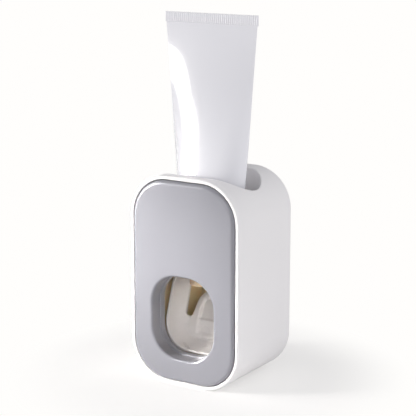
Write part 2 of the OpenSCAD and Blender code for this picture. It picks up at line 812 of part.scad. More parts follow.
module pin_right() hinge_pin();
module pin_left() mirror([1, 0, 0]) hinge_pin();

// Points along the spring's wire: a leg on the cup, the coils round the pin, and a leg on the cheek.
function spring_path(n = 16) = let (
    gap = cheek_gap - 2 * wire_r - 0.6,
    x0 = cup_w / 2 + wire_r + 0.3,
    steps = n * coil_turns
) concat(
    [[x0, leg_y, hinge_z - 10], [x0, leg_y, hinge_z - 5]],
    [for (i = [0:steps]) let (a = 180 - i * 360 / n)
        [x0 + gap * i / steps, hinge_y + coil_r * cos(a), hinge_z + coil_r * sin(a)]],
    [[x0 + gap, leg_y, hinge_z + 5.6]]
);

// Round tube swept along a list of points.
module sweep_wire(path, r, sides = 6) {
    n = len(path);
    rings = [for (i = [0:n - 1]) let (
        d = path[min(i + 1, n - 1)] - path[max(i - 1, 0)],
        t = d / norm(d),
        u = cross(t, abs(t[0]) > 0.9 ? [0, 0, 1] : [1, 0, 0]),
        a = u / norm(u),
        b = cross(t, a)
    ) [for (k = [0:sides - 1]) path[i] + r * (a * cos(k * 360 / sides) + b * sin(k * 360 / sides))]];
    points = [for (ring = rings) each ring];
    walls = [for (i = [0:n - 2], k = [0:sides - 1]) let (
        p = i * sides + k,
        q = i * sides + (k + 1) % sides
    ) each [[p, p + sides, q], [q, p + sides, q + sides]]];
    polyhedron(points, concat(walls, [[for (k = [0:sides - 1]) k]],
        [[for (k = [sides - 1:-1:0]) (n - 1) * sides + k]]));
}

module return_spring() {
    color(metal_color) sweep_wire(spring_path(), wire_r);
}

module spring_right() return_spring();
module spring_left() mirror([1, 0, 0]) return_spring();

// How round the tube is at a height: 0 at the flat seal, 1 at the shoulder.
function tube_round(z) = let (s = (sleeve_top_z - z) / (sleeve_top_z - sleeve_z))
    s * (1 - 0.5 * s * (1 - s));

// One ring of points of the tube's skin at height z, a given depth under the surface.
function tube_ring(z, inset, n) = let (
    t = tube_round(z),
    flat_w = crimp_w / 2,
    r = tube_r,
    thin = crimp_t / 2
) [for (k = [0:n - 1]) let (
    a = k * 360 / n,
    half = a <= 180 ? a : 360 - a,
    flat_x = flat_w * (1 - half / 90),
    side = sin(a)
) [(1 - inset / r) * ((1 - t) * flat_x + t * r * cos(a)),
    side * (t * r + (1 - t) * thin - inset * (0.3 + 0.7 * t)), z]];

// The tube's sleeve: a thin skin that turns from round to flat, and the ribbed seal on top.
module tube_sleeve() {
    n = 48;
    levels = 12;
    skin = [for (i = [0:levels]) tube_ring(sleeve_z + i * (sleeve_top_z - sleeve_z) / levels, 0, n)];
    core = [for (i = [0:levels]) tube_ring(sleeve_z + i * (sleeve_top_z - sleeve_z) / levels, sleeve_t, n)];
    points = [for (ring = concat(skin, core)) each ring];
    base = n * (levels + 1);
    walls = [for (i = [0:levels - 1], k = [0:n - 1]) let (p = i * n + k, q = i * n + (k + 1) % n)
        each [[p, p + n, q], [q, p + n, q + n],
            [base + p, base + q, base + p + n], [base + q, base + q + n, base + p + n]]];
    ends = [for (k = [0:n - 1]) let (q = (k + 1) % n, top = n * levels)
        each [[k, q, base + k], [q, base + q, base + k],
            [top + k, base + top + k, top + q], [top + q, base + top + k, base + top + q]]];
    color("ghostwhite") union() {
        polyhedron(points, concat(walls, ends));
        translate([0, 0, sleeve_top_z - 1]) linear_extrude(crimp_h + 1) crimp_plan();
    }
}

// Plan of the flat seal, with pressed ribs along both sides.
module crimp_plan() {
    half_t = crimp_t / 2;
    pitch = crimp_w / crimp_ribs;
    steps = 2 * crimp_ribs;
    edge = [for (i = [0:steps]) [-crimp_w / 2 + i * pitch / 2, half_t - (i % 2) * crimp_rib]];
    polygon(concat(edge, [for (i = [steps:-1:0]) [edge[i][0], -edge[i][1]]]));
}

// The tube's shoulder and its neck with the paste opening.
module tube_shoulder() {
    plug_r = tube_r - sleeve_t - 0.4;
    plug_z = sleeve_z + 0.6;
    color("white") rotate_extrude() polygon([
        [neck_bore_r, neck_tip_z], [neck_r, neck_tip_z], [neck_r, shoulder_z],
        [tube_r, sleeve_z - 1.4], [tube_r, sleeve_z - 0.05], [plug_r, sleeve_z - 0.05],
        [plug_r, plug_z], [plug_r - 1.2, plug_z],
        [neck_bore_r, shoulder_z + 1.4]]);
}

outer_shell();
front_cover();
carrier_frame();
pump_head();
duct_plug();
valve_seat();
inlet_valve();
neck_grommet();
pump_bulb();
bulb_clamp();
clamp_screws();
head_screws();
outlet_nozzle();
nozzle_cap();
push_cup();
press_pad();
pin_left();
pin_right();
spring_left();
spring_right();
tube_sleeve();
tube_shoulder();
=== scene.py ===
"""Models and finishes a toothpaste dispenser: casing, cover, cup, tube, squeeze bulb, springs and light."""

import math

import bmesh
import bpy
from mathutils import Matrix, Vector


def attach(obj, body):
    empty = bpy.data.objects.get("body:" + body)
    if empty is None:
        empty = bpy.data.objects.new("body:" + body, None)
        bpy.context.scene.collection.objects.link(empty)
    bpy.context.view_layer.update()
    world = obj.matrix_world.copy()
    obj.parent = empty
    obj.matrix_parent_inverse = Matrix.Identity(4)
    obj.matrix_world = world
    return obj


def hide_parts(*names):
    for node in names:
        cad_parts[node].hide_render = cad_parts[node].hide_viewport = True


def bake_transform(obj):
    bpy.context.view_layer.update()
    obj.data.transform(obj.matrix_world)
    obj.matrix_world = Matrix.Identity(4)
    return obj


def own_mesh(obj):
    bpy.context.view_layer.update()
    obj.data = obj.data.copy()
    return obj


bl_info = {
    "name": "Toothpaste dispenser",
    "version": (1, 0, 0),
    "blender": (4, 5, 0),
    "location": "3D View > Sidebar > Dispenser",
    "description": "Models a bench-top toothpaste dispenser with its casing, cover, push cup and tube",
    "category": "Object",
}

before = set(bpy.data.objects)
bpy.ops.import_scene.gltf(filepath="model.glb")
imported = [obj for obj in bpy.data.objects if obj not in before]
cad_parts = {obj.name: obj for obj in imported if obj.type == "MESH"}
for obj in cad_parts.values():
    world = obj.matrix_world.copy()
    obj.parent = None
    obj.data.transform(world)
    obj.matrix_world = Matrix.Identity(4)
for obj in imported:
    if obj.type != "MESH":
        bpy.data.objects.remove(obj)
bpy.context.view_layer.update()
MM = 0.001
CORNER_STEPS = 20
# Too small to see: it keeps the two sides of a half-round end apart, and points nearer than it are merged.
HAIR = 0.001 * MM
# What the camera sees behind the dispenser and of the floor far from it.
BACKDROP = (1, 0.99, 0.975, 1)
FLOOR_R = 6
# Lies beyond the floor's far edge.
CLIP_END = 20
# Each plastic's colour, roughness and how far that varies, grain and its relief in millimetres, and settings.
PLASTICS = {
    # White ABS, moulded in a finely sparked tool, so that it is satin and hides fingerprints.
    "casing_abs": ("casing", 0.42, 0.04, 0.5, 0.006, {"IOR": 1.53}),
    # Grey ABS with a little mica, moulded in a polished tool and coated clear, so that it gleams softly.
    "cover_abs": ("cover", 0.36, 0.02, 1.6, 0.0008, {
        "IOR": 1.53, "Metallic": 0.3, "Coat Weight": 0.6, "Coat Roughness": 0.05}),
    # White ABS with a half-gloss moulded face, easy to rinse. Its colour is greyed with painted shade for the
    # cup's shadowed hollow.
    "cup_abs_painted_shade": ("cup", 0.3, 0.04, 0.8, 0.003, {"IOR": 1.53}),
    # Clear amber polycarbonate, moulded smooth, which glows where light gets into it.
    "amber_polycarbonate": ("amber", 0.22, 0.03, 1.2, 0.002, {
        "IOR": 1.58, "Subsurface Weight": 0.35, "Subsurface Scale": 2 * MM}),
    # Milky silicone, pressed in a hot tool, soft to the eye with a dull skin.
    "milky_silicone": ("silicone", 0.5, 0.05, 1.0, 0.004, {
        "IOR": 1.41, "Subsurface Weight": 0.5, "Subsurface Scale": 1.5 * MM}),
    # Polyethylene laminate of the tube, extruded and lacquered: white and glossy.
    "tube_laminate": ("tube", 0.24, 0.02, 0.6, 0.001, {
        "IOR": 1.51, "Coat Weight": 1.0, "Coat IOR": 1.85, "Coat Roughness": 0.08}),
    # Moulded white polyethylene of the tube's shoulder and neck, waxy and half matt.
    "shoulder_polyethylene": ("shoulder", 0.45, 0.04, 0.8, 0.004, {"IOR": 1.53}),
}
# Name, place, aim, width and height, power, tint and spread. Three large soft lamps stand round the
# dispenser. Two narrow beams fall on the cover's face and into its window, and the last and smallest lamp
# stands inside the carrier and lights its amber walls.
LAMPS = (
    ("key_lamp", (-0.42, -0.2, 0.22), (0, 0, 0.1), (0.2, 0.45), 1.05, "#FFFDFA", 180),
    ("side_lamp", (0.6, 0.1, 0.3), (0, 0, 0.1), (0.7, 0.7), 1.4, "#FBFCFF", 180),
    ("front_lamp", (0.3, -0.85, 0.45), (0, 0, 0.12), (0.6, 0.5), 1.6, "#FFFDFC", 180),
    ("cover_lamp", (-0.28, -0.25, 0.13), (-0.01, -0.028, 0.055), (0.12, 0.07), 0.085, "#FFFDFA", 28),
    ("window_lamp", (0.26, -0.35, 0.1), (-0.014, -0.02, 0.036), (0.05, 0.05), 0.0014, "#FFFBF6", 10),
    ("inner_lamp", (-0.006, 0.016, 0.05), (-0.022, 0.022, 0.036), (0.008, 0.008), 0.0022, "#FFF6E8", 180))
# The tongue's form in millimetres: height, half width at its edge and at its crest, and depth of the crest.
TONGUE_ROWS = (
    (20.0, 8.2, 6.9, -4.4), (20.8, 9.9, 7.7, -4.9), (22.0, 11.8, 8.0, -5.3), (23.5, 13.2, 8.0, -5.35),
    (25.0, 14.0, 7.9, -5.1), (26.5, 14.3, 7.8, -4.8), (28.5, 13.7, 7.6, -4.3), (30.7, 12.6, 7.4, -3.7),
    (32.8, 11.5, 7.3, -3.0), (35.5, 10.8, 7.2, -1.85), (38.2, 10.4, 7.1, -0.45), (40.7, 10.0, 6.8, 0.95),
    (42.5, 9.2, 6.2, 1.95), (44.3, 7.6, 5.0, 2.9), (45.8, 5.6, 3.4, 3.65), (46.8, 3.4, 1.8, 4.15),
    (47.4, 0.6, 0.3, 4.5))


def linear(hex_colour):
    """Turns an sRGB hex colour such as #A0B1C2 into linear red, green, blue and alpha."""
    parts = [int(hex_colour[i:i + 2], 16) / 255 for i in (1, 3, 5)]
    return [c / 12.92 if c <= 0.04045 else ((c + 0.055) / 1.055) ** 2.4 for c in parts] + [1.0]


def length(name, mm):
    """A size in the panel, with its default given in millimetres."""
    return bpy.props.FloatProperty(name=name, default=mm * MM, precision=4, unit="LENGTH")


def tilt(name, degrees):
    """An angle in the panel, with its default given in degrees."""
    return bpy.props.FloatProperty(name=name, default=math.radians(degrees), subtype="ANGLE")


def colour(name, hex_colour):
    """A colour in the panel, with its default given as an sRGB hex value."""
    return bpy.props.FloatVectorProperty(
        name=name, default=linear(hex_colour), size=4, min=0, max=1, subtype="COLOR")


def clamp(value, low=0, high=1):
    """The value, held between two limits."""
    return min(max(value, low), high)


class DispenserSizes(bpy.types.PropertyGroup):
    casing_w: length("Width of the white casing", 70)
    casing_h: length("Height of the white casing", 117)
    casing_front: length("Depth at which the casing's rim lies", -27.5)
    casing_back: length("Depth of the casing's back face", 29.5)
    corner_r: length("Radius of the casing's corners seen from the front", 23.4)
    wall: length("Thickness of the casing's ring wall", 2)
    back_wall: length("Thickness of the casing's back", 2.4)
    rim_round: length("Rounding of the ring wall's front edge", 0.9)
    mouth_round: length("Rounding of the ring wall's inner front edge", 0.5)
    back_round: length("Rounding of the casing's back edge", 2.5)
    well_len: length("Length of the oval well of the tube", 57)
    well_wid: length("Width of the oval well of the tube", 41)
    well_wall: length("Thickness of the well's wall", 1.6)
    well_foot: length("Height at which the well's wall ends", 88)
    well_lip: length("Rounding of the well's upper edge", 0.9)
    well_room: length("Least height of the inner skin above the well's foot", 5)
    key_pitch: length("Distance between the two keyholes", 36)
    key_z: length("Height of the keyholes' round ends", 94)
    key_r: length("Radius of a keyhole's round end", 4)
    key_slot: length("Width of a keyhole's slot", 4.2)
    key_rise: length("Rise of a keyhole's slot", 7)
    rib_low: length("Height of the lower ribs of the casing", 29)
    rib_high: length("Height of the upper ribs of the casing", 70.2)
    rib_t: length("Thickness of the ribs and rails", 2)
    rib_in: length("How near the ribs come to the middle plane", 24.7)
    rib_front: length("Depth at which the ribs start", -22.35)
    rail_x: length("Distance of the floor rails from the middle plane", 8)
    rail_front: length("Depth at which the floor rails start", -13)
    rail_top: length("Height of the floor rails", 7)
    cover_face: length("Depth at which the cover's face lies", -29.5)
    cover_gap: length("Gap between the cover and the casing's mouth", 0.35)
    cover_end: length("Depth at which the cover's skirt ends", -22.4)
    cover_t: length("Thickness of the cover's face", 2.4)
    skirt_t: length("Thickness of the cover's skirt", 1.8)
    cover_round: length("Rounding of the cover's front edge", 2.2)
    cover_crown: length("How far the cover's face bulges", 1.3)
    window_w: length("Width of the brush window", 40)
    window_h: length("Height of the brush window", 46.7)
    window_z: length("Height of the window's lower edge", 15.4)
    window_r: length("Radius of the window's corners", 16.5)
    lip_round: length("Rounding of the window's front edge", 1.3)
    tunnel_end: length("Depth at which the window's tunnel ends", -17.5)
    tunnel_wall: length("Thickness of the tunnel's wall", 1.6)
    tunnel_step: length("Size of the step in the tunnel", 0.5)
    step_depth: length("Depth at which the tunnel steps in", -21.3)
    rim_y: length("Depth at which the cup's rim lies", -16)
    cup_w: length("Width of the push cup", 40)
    cup_wall: length("Thickness of the cup's wall", 1.6)
    cup_r: length("Outer radius of the bowl's corners", 14)
    cup_back: length("Depth at which the bowl's back lies", 1.1)
    cup_foot: length("Height of the bowl's underside", 15.5)
    cup_top: length("Height at which the leaning wall ends", 53)
    knee_z: length("Height from which the cup's wall leans back", 33)
    cup_lean: tilt("Angle by which the upper wall leans back", 17.8)
    slot_x: length("Distance of a slot from the middle plane", 12.3)
    slot_w: length("Width of the slots beside the tongue", 4.8)
    slot_z: length("Height of a slot's round end", 31.8)
    shelf_z: length("Height of the step across the tongue's hollow", 31.3)
    tongue_top: length("Height of the tongue's round end", 47.4)
    hinge_y: length("Depth of the cup's hinge", -1)
    hinge_z: length("Height of the cup's hinge", 62)
    pin_r: length("Radius of the hinge's pin holes", 2.05)
    boss_r: length("Radius of the bosses round the pin holes", 5)
    bearing_len: length("Length of the bearing in each arm", 3.5)
    heel_z: length("Height of the heels that stop the cup at rest", 69.7)
    peg_r: length("Radius of the pegs that the springs press on", 0.9)
    peg_y: length("Depth of the spring pegs", -5.55)
    tube_r: length("Radius of the tube where it is round", 19)
    sleeve_foot: length("Height at which the tube's sleeve meets its shoulder", 86)
    tube_top: length("Height of the tube's flat end", 202.6)
    seal_h: length("Height of the tube's flat seal", 5.6)
    seal_t: length("Thickness of the tube's flat seal", 1.1)
    seal_w: length("Width of the tube's flat seal", 59.2)
    seal_ribs: bpy.props.IntProperty(name="Number of upright ribs across the seal", default=46)
    rib_relief: length("Depth of the grooves between the seal's ribs", 0.34)
    bulb_y: length("Depth of the squeeze bulb's axis", 16)
    bulb_r: length("Outer radius of the squeeze bulb", 7)
    bulb_wall: length("Wall of the squeeze bulb", 1.2)
    bulb_low: length("Lowest point of the squeeze bulb", 34)
    bulb_top: length("Upper face of the bulb's flange", 58)
    flange_r: length("Radius of the bulb's flange", 9)
    flange_t: length("Thickness of the bulb's flange", 1.4)
    wire_r: length("Radius of the springs' wire", 0.35)
    coil_r: length("Middle radius of the springs' coils", 3.3)
    coil_turns: bpy.props.IntProperty(name="Turns of each spring", default=3)
    coil_in: length("Distance of the coils' inner end from the middle", 20.65)
    coil_len: length("Length of a coil along the pin", 1.3)
    leg_low: length("Reach of the spring's leg below the hinge", 10)
    leg_high: length("Reach of the spring's leg above the hinge", 5.6)


class DispenserColours(bpy.types.PropertyGroup):
    casing: colour("White ABS of the casing", "#F2F0F0")
    cover: colour("Grey ABS of the cover", "#919198")
    # Greyer than the casing's white: painted shade for the hollow of the cup, laid on white ABS.
    cup: colour("White ABS of the push cup", "#DAD6D3")
    amber: colour("Amber polycarbonate of the carrier", "#D9C6A4")
    silicone: colour("Milky silicone of the bulb, nozzle and grommet", "#E6E2DC")
    steel: colour("Stainless steel of pins, springs and screws", "#C9C8C4")
    tube: colour("White laminate of the tube", "#F1F1F6")
    shoulder: colour("White polyethylene of the tube's shoulder", "#EFEFEF")
    floor: colour("Pale floor that the dispenser stands on", "#FAF9F8")


class DispenserView(bpy.types.PropertyGroup):
    azimuth: tilt("Turn of the camera round the dispenser", 33.05)
    elevation: tilt("Height of the camera above the horizon", 12.49)
    distance: length("Distance of the camera from the point it looks at", 757.35)
    aim: bpy.props.FloatVectorProperty(
        name="Point that the camera looks at", default=(-1.87 * MM, -0.22 * MM, 95.4 * MM),
        subtype="TRANSLATION", unit="LENGTH")
    lens: bpy.props.FloatProperty(name="Focal length of the camera in millimetres", default=118.27)
    sensor: bpy.props.FloatProperty(name="Width of the camera's sensor in millimetres", default=36)


def add_node(tree, kind, settings, links):
    """Adds a shader node with its settings. A link is an output socket, or a plain value for the input."""
    made = tree.nodes.new(kind)
    for name, value in settings.items():
        setattr(made, name, value)
    for name, source in links.items():
        if isinstance(source, bpy.types.NodeSocket):
            tree.links.new(source, made.inputs[name])
        else:
            made.inputs[name].default_value = source
    return made


def start_material(name):
    """Returns a new material, its node tree and its principled shader."""
    material = bpy.data.materials.new(name)
    material.use_nodes = True
    tree = material.node_tree
    return material, tree, tree.nodes["Principled BSDF"]


def plastic(name, colours):
    """One of the plastics: even colour, a little cloudiness in the gloss, and the tool's fine spark grain."""
    base, roughness, spread, grain_mm, relief, own = PLASTICS[name]
    material, tree, shader = start_material(name)
    shader.inputs["Base Color"].default_value = getattr(colours, base)
    for socket, value in own.items():
        shader.inputs[socket].default_value = value
    place = add_node(tree, "ShaderNodeTexCoord", {}, {})
    cloud = add_node(tree, "ShaderNodeTexNoise", {}, {
        "Vector": place.outputs["Object"], "Scale": 1 / (18 * MM), "Detail": 3.0, "Roughness": 0.55})
    gloss = add_node(tree, "ShaderNodeMapRange", {}, {
        "Value": cloud.outputs["Fac"], "From Min": 0.3, "From Max": 0.7,
        "To Min": roughness - spread, "To Max": roughness + spread})
    grain = add_node(tree, "ShaderNodeTexNoise", {}, {
        "Vector": place.outputs["Object"], "Scale": 1 / (grain_mm * MM), "Detail": 2.0, "Roughness": 0.6})
    bump = add_node(tree, "ShaderNodeBump", {}, {
        "Strength": 1.0, "Distance": relief * MM, "Height": grain.outputs["Fac"]})
    tree.links.new(gloss.outputs["Result"], shader.inputs["Roughness"])
    tree.links.new(bump.outputs["Normal"], shader.inputs["Normal"])
    return material


def drawn_steel(colours):
    """Stainless steel, drawn and turned, with fine lines round its parts."""
    material, tree, shader = start_material("drawn_steel")
    shader.inputs["Base Color"].default_value = colours.steel
    shader.inputs["Metallic"].default_value = 1.0
    place = add_node(tree, "ShaderNodeTexCoord", {}, {})
    lines = add_node(tree, "ShaderNodeTexNoise", {}, {
        "Vector": place.outputs["Object"], "Scale": 1 / (0.6 * MM), "Detail": 2.0})
    gloss = add_node(tree, "ShaderNodeMapRange", {}, {
        "Value": lines.outputs["Fac"], "To Min": 0.2, "To Max": 0.36})
    tree.links.new(gloss.outputs["Result"], shader.inputs["Roughness"])
    return material


def dress(node, material):
    """Gives a CAD node that stays on show its material."""
    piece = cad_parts[node]
    piece.data.materials.clear()
    piece.data.materials.append(material)


def pick(piece):
    """Makes a piece the active and only selected object."""
    bpy.ops.object.select_all(action="DESELECT")
    bpy.context.view_layer.objects.active = piece
    piece.select_set(True)


def start_piece(name):
    """Starts a new mesh object and opens it for editing."""
    piece = bpy.data.objects.new(name, bpy.data.meshes.new(name))
    bpy.context.collection.objects.link(piece)
    pick(piece)
    bpy.ops.object.mode_set(mode="EDIT")
    bpy.ops.mesh.select_mode(type="VERT")
    return piece


def start_line(name, places):
    """Starts a piece as a line of points joined by edges."""
    piece = start_piece(name)
    mesh = bmesh.from_edit_mesh(piece.data)
    points = [mesh.verts.new(place) for place in places]
    for start, end in zip(points, points[1:]):
        mesh.edges.new((start, end))
    bmesh.update_edit_mesh(piece.data)
    return piece


def select_edges(piece, test):
    """Selects the edges that pass the test."""
    mesh = bmesh.from_edit_mesh(piece.data)
    for edge in mesh.edges:
        edge.select = test(edge)
    bmesh.update_edit_mesh(piece.data)


def close_edit(merge=0):
    """Merges points that lie nearer than a distance, turns all faces outwards and leaves the editing."""
    bpy.ops.mesh.select_all(action="SELECT")
    if merge:
        bpy.ops.mesh.remove_doubles(threshold=merge)
    bpy.ops.mesh.normals_make_consistent(inside=False)
    bpy.ops.object.mode_set(mode="OBJECT")


def ring_layer(mesh):
    """The number that each vertex carries of the ring it belongs to."""
    return mesh.verts.layers.int.get("ring") or mesh.verts.layers.int.new("ring")


def add_ring(piece, number, size, upright=True):
    """Adds a rounded rectangle of edges. size is its width, height, corner radius and centre."""
    width, height, radius, centre = size
    turn = (math.pi / 2, 0, 0) if upright else (0, 0, 0)
    stretch = (width, 1, height) if upright else (width, height, 1)
    bpy.ops.mesh.select_all(action="DESELECT")
    bpy.ops.mesh.primitive_plane_add(size=1, location=centre, rotation=turn)
    bpy.ops.transform.resize(value=stretch, center_override=centre)
    bpy.ops.mesh.bevel(offset=radius, segments=CORNER_STEPS, affect="VERTICES")
    bpy.ops.mesh.delete(type="ONLY_FACE")
    mesh = bmesh.from_edit_mesh(piece.data)
    layer = ring_layer(mesh)
    for vertex in mesh.verts:
        if vertex[layer] == 0:
            vertex[layer] = number
    bmesh.update_edit_mesh(piece.data)


def ring_in_order(mesh, number, upright):
    """The vertices of one ring, in order round its middle."""
    layer = ring_layer(mesh)
    ring = [vertex for vertex in mesh.verts if vertex[layer] == number]
    middle = sum((vertex.co for vertex in ring), Vector()) / len(ring)
    up = 2 if upright else 1
    return sorted(ring, key=lambda vertex: math.atan2(
        vertex.co.x - middle.x, middle[up] - vertex.co[up]))


def bridge_rings(piece, first, second, upright):
    """Joins two rings with a band of four-sided faces."""
    mesh = bmesh.from_edit_mesh(piece.data)
    one = ring_in_order(mesh, first, upright)
    other = ring_in_order(mesh, second, upright)
    for i in range(len(one)):
        mesh.faces.new((one[i - 1], one[i], other[i], other[i - 1]))
    bmesh.update_edit_mesh(piece.data)


def cut_band(piece, first, cuts):
    """Cuts the band between a ring and the next one into several narrower bands."""
    bpy.ops.mesh.select_all(action="DESELECT")
    bpy.ops.mesh.select_mode(type="EDGE")
    layer = ring_layer(bmesh.from_edit_mesh(piece.data))
    select_edges(piece, lambda edge: sorted(vertex[layer] for vertex in edge.verts) == [first, first + 1])
    bpy.ops.mesh.subdivide(number_cuts=cuts)


def close_ring(piece, number, upright):
    """Closes a ring with one face."""
    mesh = bmesh.from_edit_mesh(piece.data)
    mesh.faces.new(ring_in_order(mesh, number, upright))
    bmesh.update_edit_mesh(piece.data)


def loft(name, rings, upright=True, ends="closed", cut_ring=None, cuts=0):
    """Bridges rounded rings one after the other. Its ends get a face each, or are joined to each other."""
    piece = start_piece(name)
    for number, ring in enumerate(rings, 1):
        add_ring(piece, number, ring, upright)
    for number in range(1, len(rings)):
        bridge_rings(piece, number, number + 1, upright)
    if ends == "joined":
        bridge_rings(piece, len(rings), 1, upright)
    else:
        close_ring(piece, 1, upright)
        close_ring(piece, len(rings), upright)
    if cut_ring:
        cut_band(piece, cut_ring, cuts)
    close_edit(HAIR / 2)
    return piece


def quarter(steps, radius):
    """Offsets along a quarter round: how far inwards and how far along, from 0 to the radius."""
    turns = [math.pi / 2 * i / steps for i in range(steps + 1)]
    return [(radius * (1 - math.cos(t)), radius * math.sin(t)) for t in turns]


def apply_modifier(piece, kind, settings):
    """Adds a modifier with its settings and applies it."""
    pick(piece)
    modifier = piece.modifiers.new(kind.lower(), kind)
    for name, value in settings.items():
        setattr(modifier, name, value)
    bpy.ops.object.modifier_apply(modifier=modifier.name)


def cut(piece, tool, operation="DIFFERENCE"):
    """Cuts, joins or trims a piece with another solid, which is then removed."""
    apply_modifier(piece, "BOOLEAN", {"operation": operation, "object": tool, "solver": "EXACT"})
    bpy.data.objects.remove(tool)


def join(piece, added):
    """Joins other meshes into a piece."""
    pick(piece)
    for part in added:
        part.select_set(True)
    bpy.ops.object.join()


def finish_piece(piece, body, material, nodes, angle=35):
    """Smooths a piece by angle, gives it its material, and seats it on its body in place of its CAD nodes.

    A piece that bends between two bodies has no body of its own.
    """
    pick(piece)
    bpy.ops.object.shade_smooth_by_angle(angle=math.radians(angle))
    apply_modifier(piece, "WEIGHTED_NORMAL", {"keep_sharp": True, "weight": 100})
    piece.data.materials.clear()
    piece.data.materials.append(material)
    if body:
        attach(piece, body)
    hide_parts(*nodes)


def oval_block(name, size_x, size_y, z0, z1):
    """A standing prism with half-round ends."""
    radius = size_y / 2 - HAIR
    return loft(name, [(size_x, size_y, radius, Vector((0, 0, z))) for z in (z0, z1)], upright=False)


def box_between(name, low, high):
    """A plain box between two corners."""
    bpy.ops.object.select_all(action="DESELECT")
    middle = [(a + b) / 2 for a, b in zip(low, high)]
    bpy.ops.mesh.primitive_cube_add(size=1, location=middle)
    box = bpy.context.object
    box.name = name
    bpy.ops.transform.resize(value=[b - a for a, b in zip(low, high)], center_override=middle)
    bpy.ops.object.transform_apply(location=True, rotation=True, scale=True)
    return box


def rod(radius, middle, long, angles):
    """A round rod about a middle, turned from upright by its angles."""
    bpy.ops.object.select_all(action="DESELECT")
    bpy.ops.mesh.primitive_cylinder_add(
        vertices=48, radius=radius, depth=long, location=middle, rotation=angles)
    bpy.ops.object.transform_apply(location=True, rotation=True, scale=True)
    return bpy.context.object


def cross_rod(radius, y, z, x0, x1):
    """A rod that lies across the dispenser."""
    return rod(radius, ((x0 + x1) / 2, y, z), abs(x1 - x0), (0, math.pi / 2, 0))


def edit(piece, select="EDGE"):
    """Opens a finished mesh for editing with nothing selected."""
    pick(piece)
    bpy.ops.object.mode_set(mode="EDIT")
    bpy.ops.mesh.select_mode(type=select)
    bpy.ops.mesh.select_all(action="DESELECT")
    return bmesh.from_edit_mesh(piece.data)


def place_selected(piece, place):
    """Moves each selected vertex to where the function puts it, and lets it remember that place."""
    mesh = bmesh.from_edit_mesh(piece.data)
    start = mesh.verts.layers.float_vector.get("start") or mesh.verts.layers.float_vector.new("start")
    for vertex in mesh.verts:
        if vertex.select:
            vertex.co = place(vertex.co)
            vertex[start] = vertex.co
    bmesh.update_edit_mesh(piece.data)


def draw_out(piece, path):
    """Extrudes the selected edges. Each new vertex goes where the path leads from its remembered place."""
    bpy.ops.mesh.extrude_edges_move()
    mesh = bmesh.from_edit_mesh(piece.data)
    start = mesh.verts.layers.float_vector["start"]
    for vertex in mesh.verts:
        if vertex.select:
            vertex.co = path(Vector(vertex[start]))
    bmesh.update_edit_mesh(piece.data)


class DISPENSER_OT_camera(bpy.types.Operator):
    """Adds the camera, at the angle and distance of the reference view"""
    bl_idname = "dispenser.camera"
    bl_label = "Camera"

    def execute(self, context):
        view = context.scene.dispenser_view
        flat = math.cos(view.elevation)
        back = Vector((
            math.sin(view.azimuth) * flat, -math.cos(view.azimuth) * flat, math.sin(view.elevation)))
        bpy.ops.object.camera_add(location=Vector(view.aim) + back * view.distance)
        camera = context.object
        camera.rotation_mode = "QUATERNION"
        camera.rotation_quaternion = (-back).to_track_quat("-Z", "Y")
        camera.data.lens = view.lens
        camera.data.sensor_width = view.sensor
        camera.data.clip_end = CLIP_END
        context.scene.camera = camera
        return {"FINISHED"}


def add_lamp(name, place, aim, size, power, tint, spread):
    """Adds a soft lamp that points at a place. size is its width and height, spread its beam in degrees."""
    bpy.ops.object.light_add(type="AREA", location=place)
    lamp = bpy.context.object
    lamp.name = name
    lamp.rotation_mode = "QUATERNION"
    lamp.rotation_quaternion = (Vector(aim) - Vector(place)).to_track_quat("-Z", "Y")
    lamp.data.shape = "RECTANGLE"
    lamp.data.size, lamp.data.size_y = size
    lamp.data.energy = power
    lamp.data.color = linear(tint)[:3]
    lamp.data.spread = math.radians(spread)
    return lamp


def floor_paint(colours):
    """Pale matt floor that keeps a soft shadow near the dispenser and fades to plain white further out."""
    material, tree, shader = start_material("floor_paint")
    shader.inputs["Base Color"].default_value = colours.floor
    shader.inputs["Roughness"].default_value = 0.8
    place = add_node(tree, "ShaderNodeTexCoord", {}, {})
    reach = add_node(tree, "ShaderNodeVectorMath", {"operation": "LENGTH"}, {0: place.outputs["Object"]})
    fade = add_node(tree, "ShaderNodeMapRange", {"interpolation_type": "SMOOTHSTEP"}, {
        "Value": reach.outputs["Value"], "From Min": 0.06, "From Max": 0.115, "To Min": 0.5, "To Max": 1.0})
    path = add_node(tree, "ShaderNodeLightPath", {}, {})
    share = add_node(tree, "ShaderNodeMath", {"operation": "MULTIPLY"}, {
        0: fade.outputs["Result"], 1: path.outputs["Is Camera Ray"]})
    white = add_node(tree, "ShaderNodeEmission", {}, {"Color": BACKDROP, "Strength": 1.0})
    mix = add_node(tree, "ShaderNodeMixShader", {}, {
        0: share.outputs[0], 1: shader.outputs["BSDF"], 2: white.outputs["Emission"]})
    tree.links.new(mix.outputs["Shader"], tree.nodes["Material Output"].inputs["Surface"])
    return material


def light_world(scene):
    """A pale even room light. The camera sees a plain white background instead."""
    world = bpy.data.worlds.new("pale_room")
    world.use_nodes = True
    scene.world = world
    tree = world.node_tree
    room = tree.nodes["Background"]
    room.inputs["Color"].default_value = linear("#F6F6FA")
    room.inputs["Strength"].default_value = 0.45
    path = add_node(tree, "ShaderNodeLightPath", {}, {})
    white = add_node(tree, "ShaderNodeBackground", {}, {"Color": BACKDROP, "Strength": 1.0})
    mix = add_node(tree, "ShaderNodeMixShader", {}, {
        0: path.outputs["Is Camera Ray"], 1: room.outputs[0], 2: white.outputs[0]})
    tree.links.new(mix.outputs["Shader"], tree.nodes["World Output"].inputs["Surface"])


